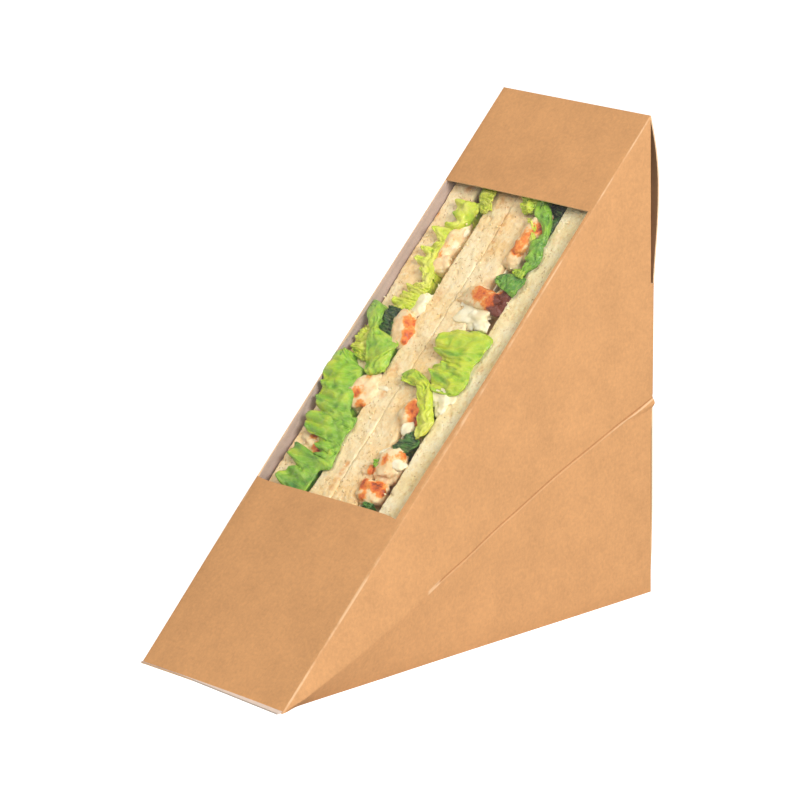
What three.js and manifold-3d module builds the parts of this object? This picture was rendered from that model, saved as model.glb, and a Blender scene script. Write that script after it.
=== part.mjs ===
// A sandwich wedge pack: a folded card carton with a film window in its sloping front, a back panel
// that opens on a scored line at its foot, and two cut sandwiches standing side by side inside.
// Millimetres. +X is across the pack, +Y goes from the front edge to the back, +Z is up, and the
// origin is the middle of the base. "Up" a point on the slope is its distance from the front edge
// along the slope, and "down" is its depth below the outer face of the slope.

import * as THREE from 'three';
import { mergeVertices } from 'three/addons/utils/BufferGeometryUtils.js';
import Module from 'manifold-3d';

const wasm = await Module();
wasm.setup();

// Outer size of the closed pack, at the corners of the side panels
const packWidth = 52;
const packDepth = 123;
const packHeight = 123;

// Card, film and the gap between pieces that only touch
const board = 0.4;
const film = 0.1;
const contactGap = 0.3;

// Window: card left below and above it, and beside it at the two folds
const lowerBand = 54;
const upperBand = 29.2;
const windowLeftEdge = 0.4;
const windowRightEdge = 1;
const filmOverlap = 8;

// How far a side panel's gusset crease bows out near the front corner
const creaseBow = 1.7;

// Glue flaps inside the carton
const baseFlapWidth = 11;
const baseFlapEndCut = 12;
const frontFlapWidth = 12;

// Dust tabs, folded in from the side panels behind the contents
const tabAboveCrease = 1;
const tabHeight = 27.6;
const tabLength = 18;
const tabTaper = 4;
const tabStandOff = 0.35;

// Back panel: inset from the sides, scored gap at its foot, and the bulge of its inner face
const lidInset = 0.8;
const lidFootGap = 0.3;
const lidFootRise = 20;
const lidBulge = 2.75;
const lidBulgeBelowTop = 19;
const lidTopStandOff = 0.6;
const tuckLength = 14;
const tuckTaper = 4;

// Fillings and bread: the four slices share the width that the fillings leave, each squeezed a little
// differently
const fillingLeft = 6.1;
const fillingRight = 8.4;
const breadSideGap = 0.45;
const seamGap = 0.4;
const sliceShares = { outerLeft: 1.02, innerLeft: 0.9, innerRight: 0.96, outerRight: 1.2 };
const breadBackGap = 0.4;
const heelRadius = 6;
const toeRadius = 7;
const crownGap = 1;
const spread = 0.5;
const spreadInset = 4;
const fillingInset = 6;
const leaf = 0.5;
const leafRise = 0.35;
const leafRootDepth = 13;
const chickenRounding = 0.8;
const chickenCorner = 3.6;

// Steps on an arc, on a softened corner, on the back panel's curve, and across and along a leaf
const arcSteps = 6;
const softSteps = 2;
const lidSteps = 22;
const leafAcross = 7;
const leafAlong = 11;
const rootDown = 2;
const weldDistance = 1e-4;

// Lines and planes that follow from those sizes
const slopeAngle = Math.atan2(packHeight, packDepth);
const slopeLength = Math.hypot(packDepth, packHeight);
const acrossPack = new THREE.Vector3(1, 0, 0);
const backward = new THREE.Vector3(0, 1, 0);
const upward = new THREE.Vector3(0, 0, 1);
const upSlope = new THREE.Vector3(0, Math.cos(slopeAngle), Math.sin(slopeAngle));
const outOfSlope = new THREE.Vector3(0, -Math.sin(slopeAngle), Math.cos(slopeAngle));
const halfWidth = packWidth / 2;
const innerHalfWidth = halfWidth - board;
const creaseHeight = packDepth * Math.tan(slopeAngle / 2);
const windowTop = slopeLength - upperBand;
const windowLength = windowTop - lowerBand;
const filmFace = board + contactGap;
const filmBack = filmFace + film;
const leafLevel = filmBack + contactGap + leafRise + leaf / 2;
const cutLevel = leafLevel + leaf / 2 + leafRise + contactGap;
const tabFoot = creaseHeight + tabAboveCrease;
const tabTop = tabFoot + tabHeight;
const tabFace = packDepth + tabStandOff;
const lidStandOff = tabStandOff + board + contactGap;
const lidBack = packDepth + lidTopStandOff + board;
const tuckFace = board + contactGap;
const tuckFoldUp = (lidBack - tuckFace * Math.sin(slopeAngle)) / Math.cos(slopeAngle);
const tuckTipUp = tuckFoldUp - board - tuckLength;
const breadFloor = 2 * board + contactGap;
const breadBack = packDepth - breadBackGap;

const cardBrown = new THREE.MeshStandardMaterial({ color: 0xd9a26c, roughness: 0.9, metalness: 0 });
const clearFilm = new THREE.MeshStandardMaterial({ color: 0xffffff, roughness: 0.1, metalness: 0 });
const breadCrumb = new THREE.MeshStandardMaterial({ color: 0xf3ddab, roughness: 0.95, metalness: 0 });
const mayonnaise = new THREE.MeshStandardMaterial({ color: 0xfaf3e2, roughness: 0.35, metalness: 0 });
const lettuceGreen = new THREE.MeshStandardMaterial({ color: 0x86b82e, roughness: 0.5, metalness: 0 });
const chickenOrange = new THREE.MeshStandardMaterial({ color: 0xd98a55, roughness: 0.5, metalness: 0 });

const pack = new THREE.Group();
pack.name = 'sandwich_box';

// Every piece is drawn from the front edge of the base, and stands half the pack's depth before its middle
function addPiece(name, geometry, material) {
  const mesh = new THREE.Mesh(geometry, material.clone());
  mesh.name = name;
  mesh.position.set(0, -packDepth / 2, 0);
  pack.add(mesh);
}

// A closed geometry as a solid that can be joined and cut, and back again
function solidOf(geometry) {
  const bare = geometry.index ? geometry.toNonIndexed() : geometry.clone();
  bare.deleteAttribute('normal');
  bare.deleteAttribute('uv');
  const welded = mergeVertices(bare, weldDistance);
  return new wasm.Manifold(new wasm.Mesh({
    numProp: 3,
    vertProperties: Float32Array.from(welded.attributes.position.array),
    triVerts: Uint32Array.from(welded.index.array),
  }));
}

function geometryOf(solid) {
  const mesh = solid.getMesh();
  const geometry = new THREE.BufferGeometry();
  geometry.setAttribute('position', new THREE.BufferAttribute(Float32Array.from(mesh.vertProperties), 3));
  geometry.setIndex(new THREE.BufferAttribute(Uint32Array.from(mesh.triVerts), 1));
  geometry.computeVertexNormals();
  return geometry;
}

function joined(solids) {
  return solids.reduce((whole, next) => whole.add(next));
}

// An outline drawn on two of the pack's directions, thickened along the third from one place to another.
// The three directions follow each other as x, y and z do.
function thickened(outline, directions, from, to, rounding = 0) {
  const geometry = new THREE.ExtrudeGeometry(outline, {
    depth: to - from - 2 * rounding,
    curveSegments: rounding > 0 ? softSteps : arcSteps,
    bevelEnabled: rounding > 0,
    bevelThickness: rounding,
    bevelSize: rounding,
    bevelOffset: -rounding,
    bevelSegments: softSteps,
  });
  geometry.translate(0, 0, from + rounding);
  geometry.applyMatrix4(new THREE.Matrix4().makeBasis(...directions));
  return geometry;
}

const sideView = [backward, upward, acrossPack];
const plan = [acrossPack, backward, upward];
const backView = [upward, acrossPack, backward];
const slopeSideView = [upSlope, outOfSlope, acrossPack];
const slopeFrontView = [acrossPack, upSlope, outOfSlope];

function outlineOf(points) {
  return new THREE.Shape(points.map(([first, second]) => new THREE.Vector2(first, second)));
}

// A polygon whose corners are rounded, by no more than the edges beside them allow
function softOutline(points, radius) {
  const corners = points.map(([first, second]) => new THREE.Vector2(first, second));
  const outline = new THREE.Shape();
  corners.forEach((corner, index) => {
    const before = corners[(index + corners.length - 1) % corners.length];
    const after = corners[(index + 1) % corners.length];
    const reach = Math.min(radius, before.distanceTo(corner) / 2.2, after.distanceTo(corner) / 2.2);
    const start = corner.clone().add(before.clone().sub(corner).setLength(reach));
    const end = corner.clone().add(after.clone().sub(corner).setLength(reach));
    if (index === 0) {
      outline.moveTo(start.x, start.y);
    } else {
      outline.lineTo(start.x, start.y);
    }
    outline.quadraticCurveTo(corner.x, corner.y, end.x, end.y);
  });
  return outline;
}

// Where a plane that lies the given depth below the slope meets a height or a distance from the front
function heightOnSlope(back, down) {
  return (back * Math.sin(slopeAngle) - down) / Math.cos(slopeAngle);
}

function backOnSlope(height, down) {
  return (height * Math.cos(slopeAngle) + down) / Math.sin(slopeAngle);
}

// The sloping front, cut level at the base and upright at the back, with its window
function slopePanel() {
  const strip = outlineOf([
    [0, 0],
    [backOnSlope(0, board), 0],
    [packDepth, heightOnSlope(packDepth, board)],
    [packDepth, packHeight],
  ]);
  const hole = outlineOf([
    [windowLeftEdge - halfWidth, lowerBand],
    [halfWidth - windowRightEdge, lowerBand],
    [halfWidth - windowRightEdge, windowTop],
    [windowLeftEdge - halfWidth, windowTop],
  ]);
  const panel = solidOf(thickened(strip, sideView, -halfWidth, halfWidth));
  return panel.subtract(solidOf(thickened(hole, slopeFrontView, -2 * board, board)));
}

function basePanel() {
  const baseBack = packDepth - lidFootGap;
  const strip = outlineOf([
    [0, 0],
    [baseBack, 0],
    [baseBack, board],
    [backOnSlope(board, 0), board],
  ]);
  return solidOf(thickened(strip, sideView, -halfWidth, halfWidth));
}

// A side panel is two triangular facets on either side of the gusset crease, which halves the angle
// between the base and the slope and bows out near the front corner
function sidePanel(side) {
  const bows = [[0, 0], [0.1, 0.8], [0.24, 1], [0.45, 0.4], [0.7, -0.1], [1, 0]];
  const crease = bows.map(([share, bow]) => [share * packDepth, share * creaseHeight, bow * creaseBow]);
  const foot = [packDepth, 0, 0];
  const top = [packDepth, packHeight, 0];
  const points = [...crease, foot, top];
  const creaseEnd = crease.length - 1;
  const footIndex = crease.length;
  const topIndex = crease.length + 1;
  const facets = [];
  for (let index = 0; index < creaseEnd; index += 1) {
    facets.push([footIndex, index + 1, index]);
    facets.push([topIndex, index, index + 1]);
  }
  const positions = [];
  const addTriangle = (corners) => {
    const turned = side > 0 ? corners : [...corners].reverse();
    turned.forEach(([index, below]) => {
      const [back, height, bow] = points[index];
      positions.push(side * (halfWidth + bow - below), back, height);
    });
  };
  facets.forEach(([a, b, c]) => {
    addTriangle([[a, 0], [b, 0], [c, 0]]);
    addTriangle([[c, board], [b, board], [a, board]]);
  });
  const rim = [0, footIndex, creaseEnd, topIndex];
  rim.forEach((from, index) => {
    const to = rim[(index + 1) % rim.length];
    addTriangle([[to, 0], [from, 0], [from, board]]);
    addTriangle([[to, 0], [from, board], [to, board]]);
  });
  const geometry = new THREE.BufferGeometry();
  geometry.setAttribute('position', new THREE.Float32BufferAttribute(positions, 3));
  return solidOf(geometry);
}

// A dust tab: the turn of its fold at the side panel's back edge, and a tapered flap across the back
function dustTab(side) {
  const fold = outlineOf([
    [packDepth - board, tabFoot],
    [tabFace + board, tabFoot],
    [tabFace + board, tabTop],
    [packDepth - board, tabTop],
  ]);
  const [from, to] = side > 0 ? [innerHalfWidth, halfWidth] : [-halfWidth, -innerHalfWidth];
  const flap = outlineOf([
    [tabFoot, side * halfWidth],
    [tabTop, side * halfWidth],
    [tabTop - tabTaper, side * (halfWidth - tabLength)],
    [tabFoot + tabTaper, side * (halfWidth - tabLength)],
  ]);
  return solidOf(thickened(fold, sideView, from, to))
    .add(solidOf(thickened(flap, backView, tabFace, tabFace + board)));
}

// A glue flap of a side panel, flat on the base, with its ends cut back
function baseFlap(side) {
  const flapBack = packDepth - lidFootGap - board;
  const flap = outlineOf([
    [side * innerHalfWidth, baseFlapEndCut],
    [side * innerHalfWidth, flapBack],
    [side * (innerHalfWidth - baseFlapWidth), flapBack - baseFlapEndCut],
    [side * (innerHalfWidth - baseFlapWidth), 2 * baseFlapEndCut],
  ]);
  return solidOf(thickened(flap, plan, board / 2, 2 * board));
}

// The glue flap of the base, inside the lower band of the slope
function frontFlap() {
  const strip = outlineOf([
    [backOnSlope(board / 2, board / 2), board / 2],
    [backOnSlope(board / 2, 2 * board), board / 2],
    [backOnSlope(frontFlapWidth * Math.sin(slopeAngle), 2 * board), frontFlapWidth * Math.sin(slopeAngle)],
    [backOnSlope(frontFlapWidth * Math.sin(slopeAngle), board / 2), frontFlapWidth * Math.sin(slopeAngle)],
  ]);
  return solidOf(thickened(strip, sideView, board - innerHalfWidth, innerHalfWidth - board));
}

const carton = joined([
  slopePanel(),
  basePanel(),
  sidePanel(1),
  sidePanel(-1),
  dustTab(1),
  dustTab(-1),
  baseFlap(1),
  baseFlap(-1),
  frontFlap(),
]);
addPiece('carton', geometryOf(carton), cardBrown);

// The back panel bulges between its foot and its top fold, and its tuck flap goes in under the slope
function backPanel() {
  const lidTop = heightOnSlope(packDepth + lidTopStandOff, tuckFace);
  const curve = new THREE.SplineCurve([
    new THREE.Vector2(packDepth, 0),
    new THREE.Vector2(packDepth + lidStandOff, lidFootRise),
    new THREE.Vector2(packDepth + lidStandOff, tabFoot),
    new THREE.Vector2(packDepth + lidStandOff + board, tabTop),
    new THREE.Vector2(packDepth + lidBulge, lidTop - lidBulgeBelowTop),
    new THREE.Vector2(packDepth + lidTopStandOff, lidTop),
  ]);
  const inner = curve.getPoints(lidSteps).map((point) => [point.x, point.y]);
  const outer = inner.map(([back, height]) => [back + board, height]).reverse();
  outer[0] = [lidBack, heightOnSlope(lidBack, tuckFace)];
  return thickened(outlineOf([...inner, ...outer]), sideView, lidInset - halfWidth, halfWidth - lidInset);
}

function tuckFlap() {
  const flapHalf = halfWidth - lidInset;
  const flap = softOutline([
    [-flapHalf, tuckFoldUp - board],
    [-flapHalf + tuckTaper, tuckTipUp],
    [flapHalf - tuckTaper, tuckTipUp],
    [flapHalf, tuckFoldUp - board],
  ], tuckTaper);
  const root = outlineOf([
    [-flapHalf, tuckFoldUp - board - tuckTaper],
    [flapHalf, tuckFoldUp - board - tuckTaper],
    [flapHalf, tuckFoldUp - board],
    [-flapHalf, tuckFoldUp - board],
  ]);
  return solidOf(thickened(flap, slopeFrontView, -tuckFace - board, -tuckFace))
    .add(solidOf(thickened(root, slopeFrontView, -tuckFace - board, -tuckFace)));
}

addPiece('back_lid', geometryOf(solidOf(backPanel()).add(tuckFlap())), cardBrown);

// The film lies behind the window and laps onto the card bands above and below it
const filmHalf = innerHalfWidth - contactGap;
const filmSheet = outlineOf([
  [-filmHalf, lowerBand - filmOverlap],
  [filmHalf, lowerBand - filmOverlap],
  [filmHalf, windowTop + filmOverlap],
  [-filmHalf, windowTop + filmOverlap],
]);
addPiece('window_film', thickened(filmSheet, slopeFrontView, -filmBack, -filmFace), clearFilm);

// Half of a square slice, cut corner to corner: the heel is its whole corner, the toe and the crown are
// the halves of the two corners that the cut goes through, and the crown stays under the tuck flap
const crownTop = tuckTipUp * Math.sin(slopeAngle) - (tuckFace + board) * Math.cos(slopeAngle) - crownGap;
const crownRadius = (heightOnSlope(breadBack, cutLevel) - crownTop)
  / (Math.tan(slopeAngle) - Math.sin(slopeAngle));

function wedgeOutline(inset) {
  const floor = breadFloor + inset;
  const back = breadBack - inset;
  const heel = heelRadius - inset;
  const toe = toeRadius - inset;
  const crown = crownRadius - inset;
  const crownHeight = heightOnSlope(back - crown, cutLevel);
  const toeBack = backOnSlope(floor + toe, cutLevel);
  const outline = new THREE.Shape();
  outline.moveTo(back, floor + heel);
  outline.lineTo(back, crownHeight);
  outline.absarc(back - crown, crownHeight, crown, 0, slopeAngle, false);
  outline.absarc(toeBack, floor + toe, toe, Math.PI + slopeAngle, Math.PI * 1.5, false);
  outline.absarc(back - heel, floor + heel, heel, -Math.PI / 2, 0, false);
  return outline;
}

// The layers across the pack, from the left side panel to the right one
const breadWidth = 2 * (innerHalfWidth - breadSideGap) - fillingLeft - fillingRight - seamGap;
const shareTotal = Object.values(sliceShares).reduce((total, share) => total + share);
const slice = {};
Object.entries(sliceShares).forEach(([name, share]) => {
  slice[name] = (share / shareTotal) * breadWidth;
});
const outerLeftEnd = breadSideGap - innerHalfWidth + slice.outerLeft;
const innerLeftStart = outerLeftEnd + fillingLeft;
const innerLeftEnd = innerLeftStart + slice.innerLeft;
const innerRightStart = innerLeftEnd + seamGap;
const innerRightEnd = innerRightStart + slice.innerRight;
const outerRightStart = innerRightEnd + fillingRight;

const breadSlices = [
  ['bread_outer_left', outerLeftEnd - slice.outerLeft, outerLeftEnd],
  ['bread_inner_left', innerLeftStart, innerLeftEnd],
  ['bread_inner_right', innerRightStart, innerRightEnd],
  ['bread_outer_right', outerRightStart, outerRightStart + slice.outerRight],
];
breadSlices.forEach(([name, from, to]) => {
  addPiece(name, thickened(wedgeOutline(0), sideView, from, to), breadCrumb);
});

// Each filling lies between an outer and an inner slice. "side" is the way from the filling to its outer
// slice, and the leaves and the chicken are listed by their shares of the window's length.
const fillings = [
  {
    name: 'left',
    side: -1,
    outerFace: outerLeftEnd,
    innerFace: innerLeftStart,
    outerSlice: slice.outerLeft,
    innerSlice: slice.innerLeft,
    leaves: [
      { from: 0, to: 0.16, overOuter: 0.85, overInner: 0.4 },
      { from: 0.175, to: 0.365, overOuter: 0.96, overInner: 0.2 },
      { from: 0.38, to: 0.57, overOuter: 0.96, overInner: 0.12 },
      { from: 0.585, to: 0.675, overOuter: 0.47, overInner: 0 },
      { from: 0.69, to: 0.95, overOuter: 0.67, overInner: 0 },
    ],
    chicken: [[-0.05, 0.19], [0.22, 0.41], [0.44, 0.63], [0.66, 0.93]],
  },
  {
    name: 'right',
    side: 1,
    outerFace: outerRightStart,
    innerFace: innerRightEnd,
    outerSlice: slice.outerRight,
    innerSlice: slice.innerRight,
    leaves: [
      { from: 0.14, to: 0.225, overOuter: 0.06, overInner: 0 },
      { from: 0.24, to: 0.385, overOuter: 0.1, overInner: 0.92 },
      { from: 0.4, to: 0.58, overOuter: 0.33, overInner: 0.58 },
      { from: 0.66, to: 0.745, overOuter: 0.17, overInner: 0 },
      { from: 0.76, to: 0.99, overOuter: 0.3, overInner: 0.4 },
    ],
    chicken: [[-0.05, 0.07], [0.09, 0.21], [0.23, 0.44], [0.47, 0.7], [0.73, 0.97]],
  },
];

// The mayonnaise lies on the inner slice, the leaves stand against the outer one, and the chicken fills
// what they leave
const leafBand = 2 * contactGap + leaf + 2 * leafRise;

function addSpread(filling) {
  const near = filling.innerFace + filling.side * contactGap;
  const far = near + filling.side * spread;
  const outline = wedgeOutline(spreadInset);
  addPiece(
    `mayonnaise_${filling.name}`,
    thickened(outline, sideView, Math.min(near, far), Math.max(near, far)),
    mayonnaise,
  );
}

// How deep below the slope the filling may reach before it comes to the crusts
function fillingLimit(up) {
  const toFloor = (up * Math.sin(slopeAngle) - breadFloor - fillingInset) / Math.cos(slopeAngle);
  const toBack = (breadBack - fillingInset - up * Math.cos(slopeAngle)) / Math.sin(slopeAngle);
  return Math.min(toFloor, toBack);
}

function addChicken(filling) {
  const near = filling.innerFace + filling.side * (2 * contactGap + spread);
  const far = filling.outerFace - filling.side * leafBand;
  const from = Math.min(near, far);
  const to = Math.max(near, far);
  const rounding = Math.min(chickenRounding, (to - from) / 3);
  filling.chicken.forEach(([start, end], index) => {
    const foot = lowerBand + start * windowLength;
    const head = lowerBand + end * windowLength;
    const strip = softOutline([
      [foot, -cutLevel - rounding],
      [head, -cutLevel],
      [head, -fillingLimit(head)],
      [foot, -fillingLimit(foot)],
    ], chickenCorner);
    addPiece(
      `chicken_${filling.name}_${index + 1}`,
      thickened(strip, slopeSideView, from, to, rounding),
      chickenOrange,
    );
  });
}

// A thin wavy sheet: the middle surface is given over a grid, and each face lies half a leaf from it
function wavySheet(columns, rows, middle, thickDirection) {
  const positions = [];
  const indices = [];
  const rowLength = columns + 1;
  const faceSize = rowLength * (rows + 1);
  [1, -1].forEach((face) => {
    for (let row = 0; row <= rows; row += 1) {
      for (let column = 0; column <= columns; column += 1) {
        const [x, up, down] = middle(column / columns, row / rows);
        const point = new THREE.Vector3(x, 0, 0)
          .addScaledVector(upSlope, up)
          .addScaledVector(outOfSlope, -down)
          .addScaledVector(thickDirection, (face * leaf) / 2);
        positions.push(point.x, point.y, point.z);
      }
    }
  });
  const addQuad = (a, b, c, d) => indices.push(a, b, c, a, c, d);
  for (let row = 0; row < rows; row += 1) {
    for (let column = 0; column < columns; column += 1) {
      const corner = row * rowLength + column;
      addQuad(corner, corner + 1, corner + 1 + rowLength, corner + rowLength);
      addQuad(
        faceSize + corner + rowLength,
        faceSize + corner + 1 + rowLength,
        faceSize + corner + 1,
        faceSize + corner,
      );
    }
  }
  const rim = [];
  for (let column = 0; column < columns; column += 1) rim.push(column);
  for (let row = 0; row < rows; row += 1) rim.push(row * rowLength + columns);
  for (let column = columns; column > 0; column -= 1) rim.push(rows * rowLength + column);
  for (let row = rows; row > 0; row -= 1) rim.push(row * rowLength);
  rim.forEach((from, index) => {
    const to = rim[(index + 1) % rim.length];
    addQuad(to, from, from + faceSize, to + faceSize);
  });
  const geometry = new THREE.BufferGeometry();
  geometry.setAttribute('position', new THREE.Float32BufferAttribute(positions, 3));
  geometry.setIndex(indices);
  return solidOf(geometry);
}

// A leaf: a frilled blade under the film, over the filling and the slices beside it, and a root that
// stands in the filling against the outer slice
function addLeaf(filling, shape, index) {
  const turn = 2.4 * index + (filling.side > 0 ? 1 : 0);
  const teeth = 2 + ((index + 1) % 3);
  const foot = lowerBand + shape.from * windowLength;
  const length = (shape.to - shape.from) * windowLength;
  const outerEnd = filling.outerFace + filling.side * shape.overOuter * filling.outerSlice;
  const innerEnd = filling.innerFace - filling.side * shape.overInner * filling.innerSlice;
  const left = Math.min(outerEnd, innerEnd);
  const right = Math.max(outerEnd, innerEnd);
  const blade = wavySheet(leafAcross, leafAlong, (across, along) => {
    const leftNotch = 0.07 + 0.07 * Math.sin(2 * Math.PI * teeth * along + turn);
    const rightNotch = 0.05 + 0.05 * Math.sin(2 * Math.PI * (teeth + 1) * along + 2 * turn);
    const fromMiddle = Math.abs(2 * across - 1);
    const span = 1 - 0.3 * fromMiddle ** 3;
    const wave = Math.sin(2 * Math.PI * (teeth * along + 0.4 * across) + turn);
    return [
      left + (right - left) * (leftNotch + across * (1 - leftNotch - rightNotch)),
      foot + length * (0.5 + (along - 0.5) * span),
      leafLevel + leafRise * wave * (0.3 + 0.7 * fromMiddle),
    ];
  }, outOfSlope);
  const rootMiddle = filling.outerFace - filling.side * (contactGap + leafRise + leaf / 2);
  const root = wavySheet(leafAlong, rootDown, (along, down) => [
    rootMiddle + leafRise * down * Math.sin(2 * Math.PI * teeth * along + turn),
    foot + length * (0.2 + 0.6 * along),
    leafLevel + down * leafRootDepth,
  ], acrossPack.clone().negate());
  addPiece(`lettuce_${filling.name}_${index + 1}`, geometryOf(blade.add(root)), lettuceGreen);
}

fillings.forEach((filling) => {
  addSpread(filling);
  addChicken(filling);
  filling.leaves.forEach((shape, index) => addLeaf(filling, shape, index));
});

export default pack;
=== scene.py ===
import math
import random

import bmesh
import bpy
from mathutils import Matrix, Vector, kdtree, noise


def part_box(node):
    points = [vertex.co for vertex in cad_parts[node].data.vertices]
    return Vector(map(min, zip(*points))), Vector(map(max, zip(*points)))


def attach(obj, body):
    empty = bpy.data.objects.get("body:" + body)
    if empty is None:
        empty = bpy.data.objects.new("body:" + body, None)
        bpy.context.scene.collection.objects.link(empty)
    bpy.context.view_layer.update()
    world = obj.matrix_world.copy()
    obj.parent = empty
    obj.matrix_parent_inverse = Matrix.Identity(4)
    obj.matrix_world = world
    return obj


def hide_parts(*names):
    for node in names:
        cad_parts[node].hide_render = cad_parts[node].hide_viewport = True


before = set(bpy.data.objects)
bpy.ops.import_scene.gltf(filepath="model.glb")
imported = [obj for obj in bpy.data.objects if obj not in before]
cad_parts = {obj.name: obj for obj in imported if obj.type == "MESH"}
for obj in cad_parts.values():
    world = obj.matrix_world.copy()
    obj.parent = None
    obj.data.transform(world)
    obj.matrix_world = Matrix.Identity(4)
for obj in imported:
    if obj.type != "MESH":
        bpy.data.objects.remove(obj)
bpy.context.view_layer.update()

# The closed pack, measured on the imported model. The slope rises from the front edge at half a right
# angle. "Up" is a distance along the slope from that edge, and "down" a depth below the slope's face.
MM = 0.001
CARD = 0.4 * MM
LID_INSET = 0.8 * MM
carton_low, carton_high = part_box("carton")
lid_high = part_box("back_lid")[1]
FRONT = carton_low.y
DEPTH = -2 * FRONT
HEIGHT = carton_high.z
HALF_WIDTH = lid_high.x + LID_INSET
SLOPE_ANGLE = math.atan2(HEIGHT, DEPTH)
SLOPE_LENGTH = math.hypot(HEIGHT, DEPTH)
UP_SLOPE = Vector((0, math.cos(SLOPE_ANGLE), math.sin(SLOPE_ANGLE)))
INTO_SLOPE = Vector((0, math.sin(SLOPE_ANGLE), -math.cos(SLOPE_ANGLE)))


def below_slope(x, up, down):
    return Vector((x, FRONT, 0)) + UP_SLOPE * up + INTO_SLOPE * down


# The camera stands at the viewing angle of the photograph, with a long lens, and frames the pack
# as the photograph does.
CAMERA_AZIMUTH = math.radians(48.12)
CAMERA_ELEVATION = math.radians(16.064)
CAMERA_ROLL = math.radians(-1.106)
CAMERA_DISTANCE = 921.8 * MM
CAMERA_SIDE_STEP = 0.56 * MM
CAMERA_RISE = -3.27 * MM
LENS = 170.3

camera_data = bpy.data.cameras.new("camera")
camera_data.lens = LENS
camera_data.sensor_width = 36
camera_data.clip_start = 0.05
camera_data.clip_end = 20
camera = bpy.data.objects.new("camera", camera_data)
bpy.context.collection.objects.link(camera)
bpy.context.scene.camera = camera
backward = Vector((
    math.sin(CAMERA_AZIMUTH) * math.cos(CAMERA_ELEVATION),
    -math.cos(CAMERA_AZIMUTH) * math.cos(CAMERA_ELEVATION),
    math.sin(CAMERA_ELEVATION),
))
level_right = Vector((math.cos(CAMERA_AZIMUTH), math.sin(CAMERA_AZIMUTH), 0))
level_up = backward.cross(level_right)
right = level_right * math.cos(CAMERA_ROLL) + level_up * math.sin(CAMERA_ROLL)
upward = level_up * math.cos(CAMERA_ROLL) - level_right * math.sin(CAMERA_ROLL)
aim = Vector((0, 0, HEIGHT / 2))
place = aim + backward * CAMERA_DISTANCE + right * CAMERA_SIDE_STEP + upward * CAMERA_RISE
camera.matrix_world = Matrix.Translation(place) @ Matrix((right, upward, backward)).transposed().to_4x4()


# A plain white table and surroundings. The camera and clear or glossy things see them white, and the
# table still takes the pack's shadow.
FLOOR_SIZE = 6.0
FLOOR_GREY = 0.5
FLOOR_LIFT = 0.9


def seen_directly(nodes, links):
    path = nodes.new("ShaderNodeLightPath")
    glossy = nodes.new("ShaderNodeMath")
    glossy.operation = "MAXIMUM"
    links.new(path.outputs["Is Camera Ray"], glossy.inputs[0])
    links.new(path.outputs["Is Glossy Ray"], glossy.inputs[1])
    clear = nodes.new("ShaderNodeMath")
    clear.operation = "MAXIMUM"
    links.new(glossy.outputs[0], clear.inputs[0])
    links.new(path.outputs["Is Transmission Ray"], clear.inputs[1])
    return clear.outputs[0]


bpy.ops.mesh.primitive_plane_add(size=FLOOR_SIZE)
floor = bpy.context.object
floor.name = "floor"
floor_material = bpy.data.materials.new("white_table")
floor_material.use_nodes = True
nodes, links = floor_material.node_tree.nodes, floor_material.node_tree.links
nodes.clear()
floor_out = nodes.new("ShaderNodeOutputMaterial")
floor_sum = nodes.new("ShaderNodeAddShader")
floor_matt = nodes.new("ShaderNodeBsdfDiffuse")
floor_matt.inputs["Color"].default_value = (FLOOR_GREY, FLOOR_GREY, FLOOR_GREY, 1)
floor_glow = nodes.new("ShaderNodeEmission")
floor_lift = nodes.new("ShaderNodeMath")
floor_lift.operation = "MULTIPLY"
floor_lift.inputs[1].default_value = FLOOR_LIFT
links.new(seen_directly(nodes, links), floor_lift.inputs[0])
links.new(floor_lift.outputs[0], floor_glow.inputs["Strength"])
links.new(floor_matt.outputs[0], floor_sum.inputs[0])
links.new(floor_glow.outputs[0], floor_sum.inputs[1])
links.new(floor_sum.outputs[0], floor_out.inputs["Surface"])
floor.data.materials.append(floor_material)

WORLD_LIGHT = 0.4
world = bpy.data.worlds.new("studio")
bpy.context.scene.world = world
world.use_nodes = True
nodes, links = world.node_tree.nodes, world.node_tree.links
nodes.clear()
world_out = nodes.new("ShaderNodeOutputWorld")
world_back = nodes.new("ShaderNodeBackground")
world_level = nodes.new("ShaderNodeMapRange")
world_level.inputs["To Min"].default_value = WORLD_LIGHT
world_level.inputs["To Max"].default_value = 1
links.new(seen_directly(nodes, links), world_level.inputs["Value"])
links.new(world_level.outputs["Result"], world_back.inputs["Strength"])
links.new(world_back.outputs[0], world_out.inputs["Surface"])


def add_lamp(name, azimuth, elevation, distance, size, power, colour=(1, 1, 1)):
    lamp = bpy.data.lights.new(name, "AREA")
    lamp.color = colour
    lamp.size = size
    lamp.energy = power
    holder = bpy.data.objects.new(name, lamp)
    bpy.context.collection.objects.link(holder)
    turn, rise = math.radians(azimuth), math.radians(elevation)
    away = Vector((math.sin(turn) * math.cos(rise), -math.cos(turn) * math.cos(rise), math.sin(rise)))
    holder.location = aim + away * distance
    holder.rotation_mode = "QUATERNION"
    holder.rotation_quaternion = away.to_track_quat("Z", "Y")


add_lamp("key", 82, 30, 1.1, 0.4, 11.0)
add_lamp("front_fill", -12, 44, 1.2, 0.4, 3.1, (1, 0.88, 0.72))
add_lamp("top", 30, 82, 1.3, 0.8, 2.0)

bpy.context.scene.view_settings.view_transform = "Standard"


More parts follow.
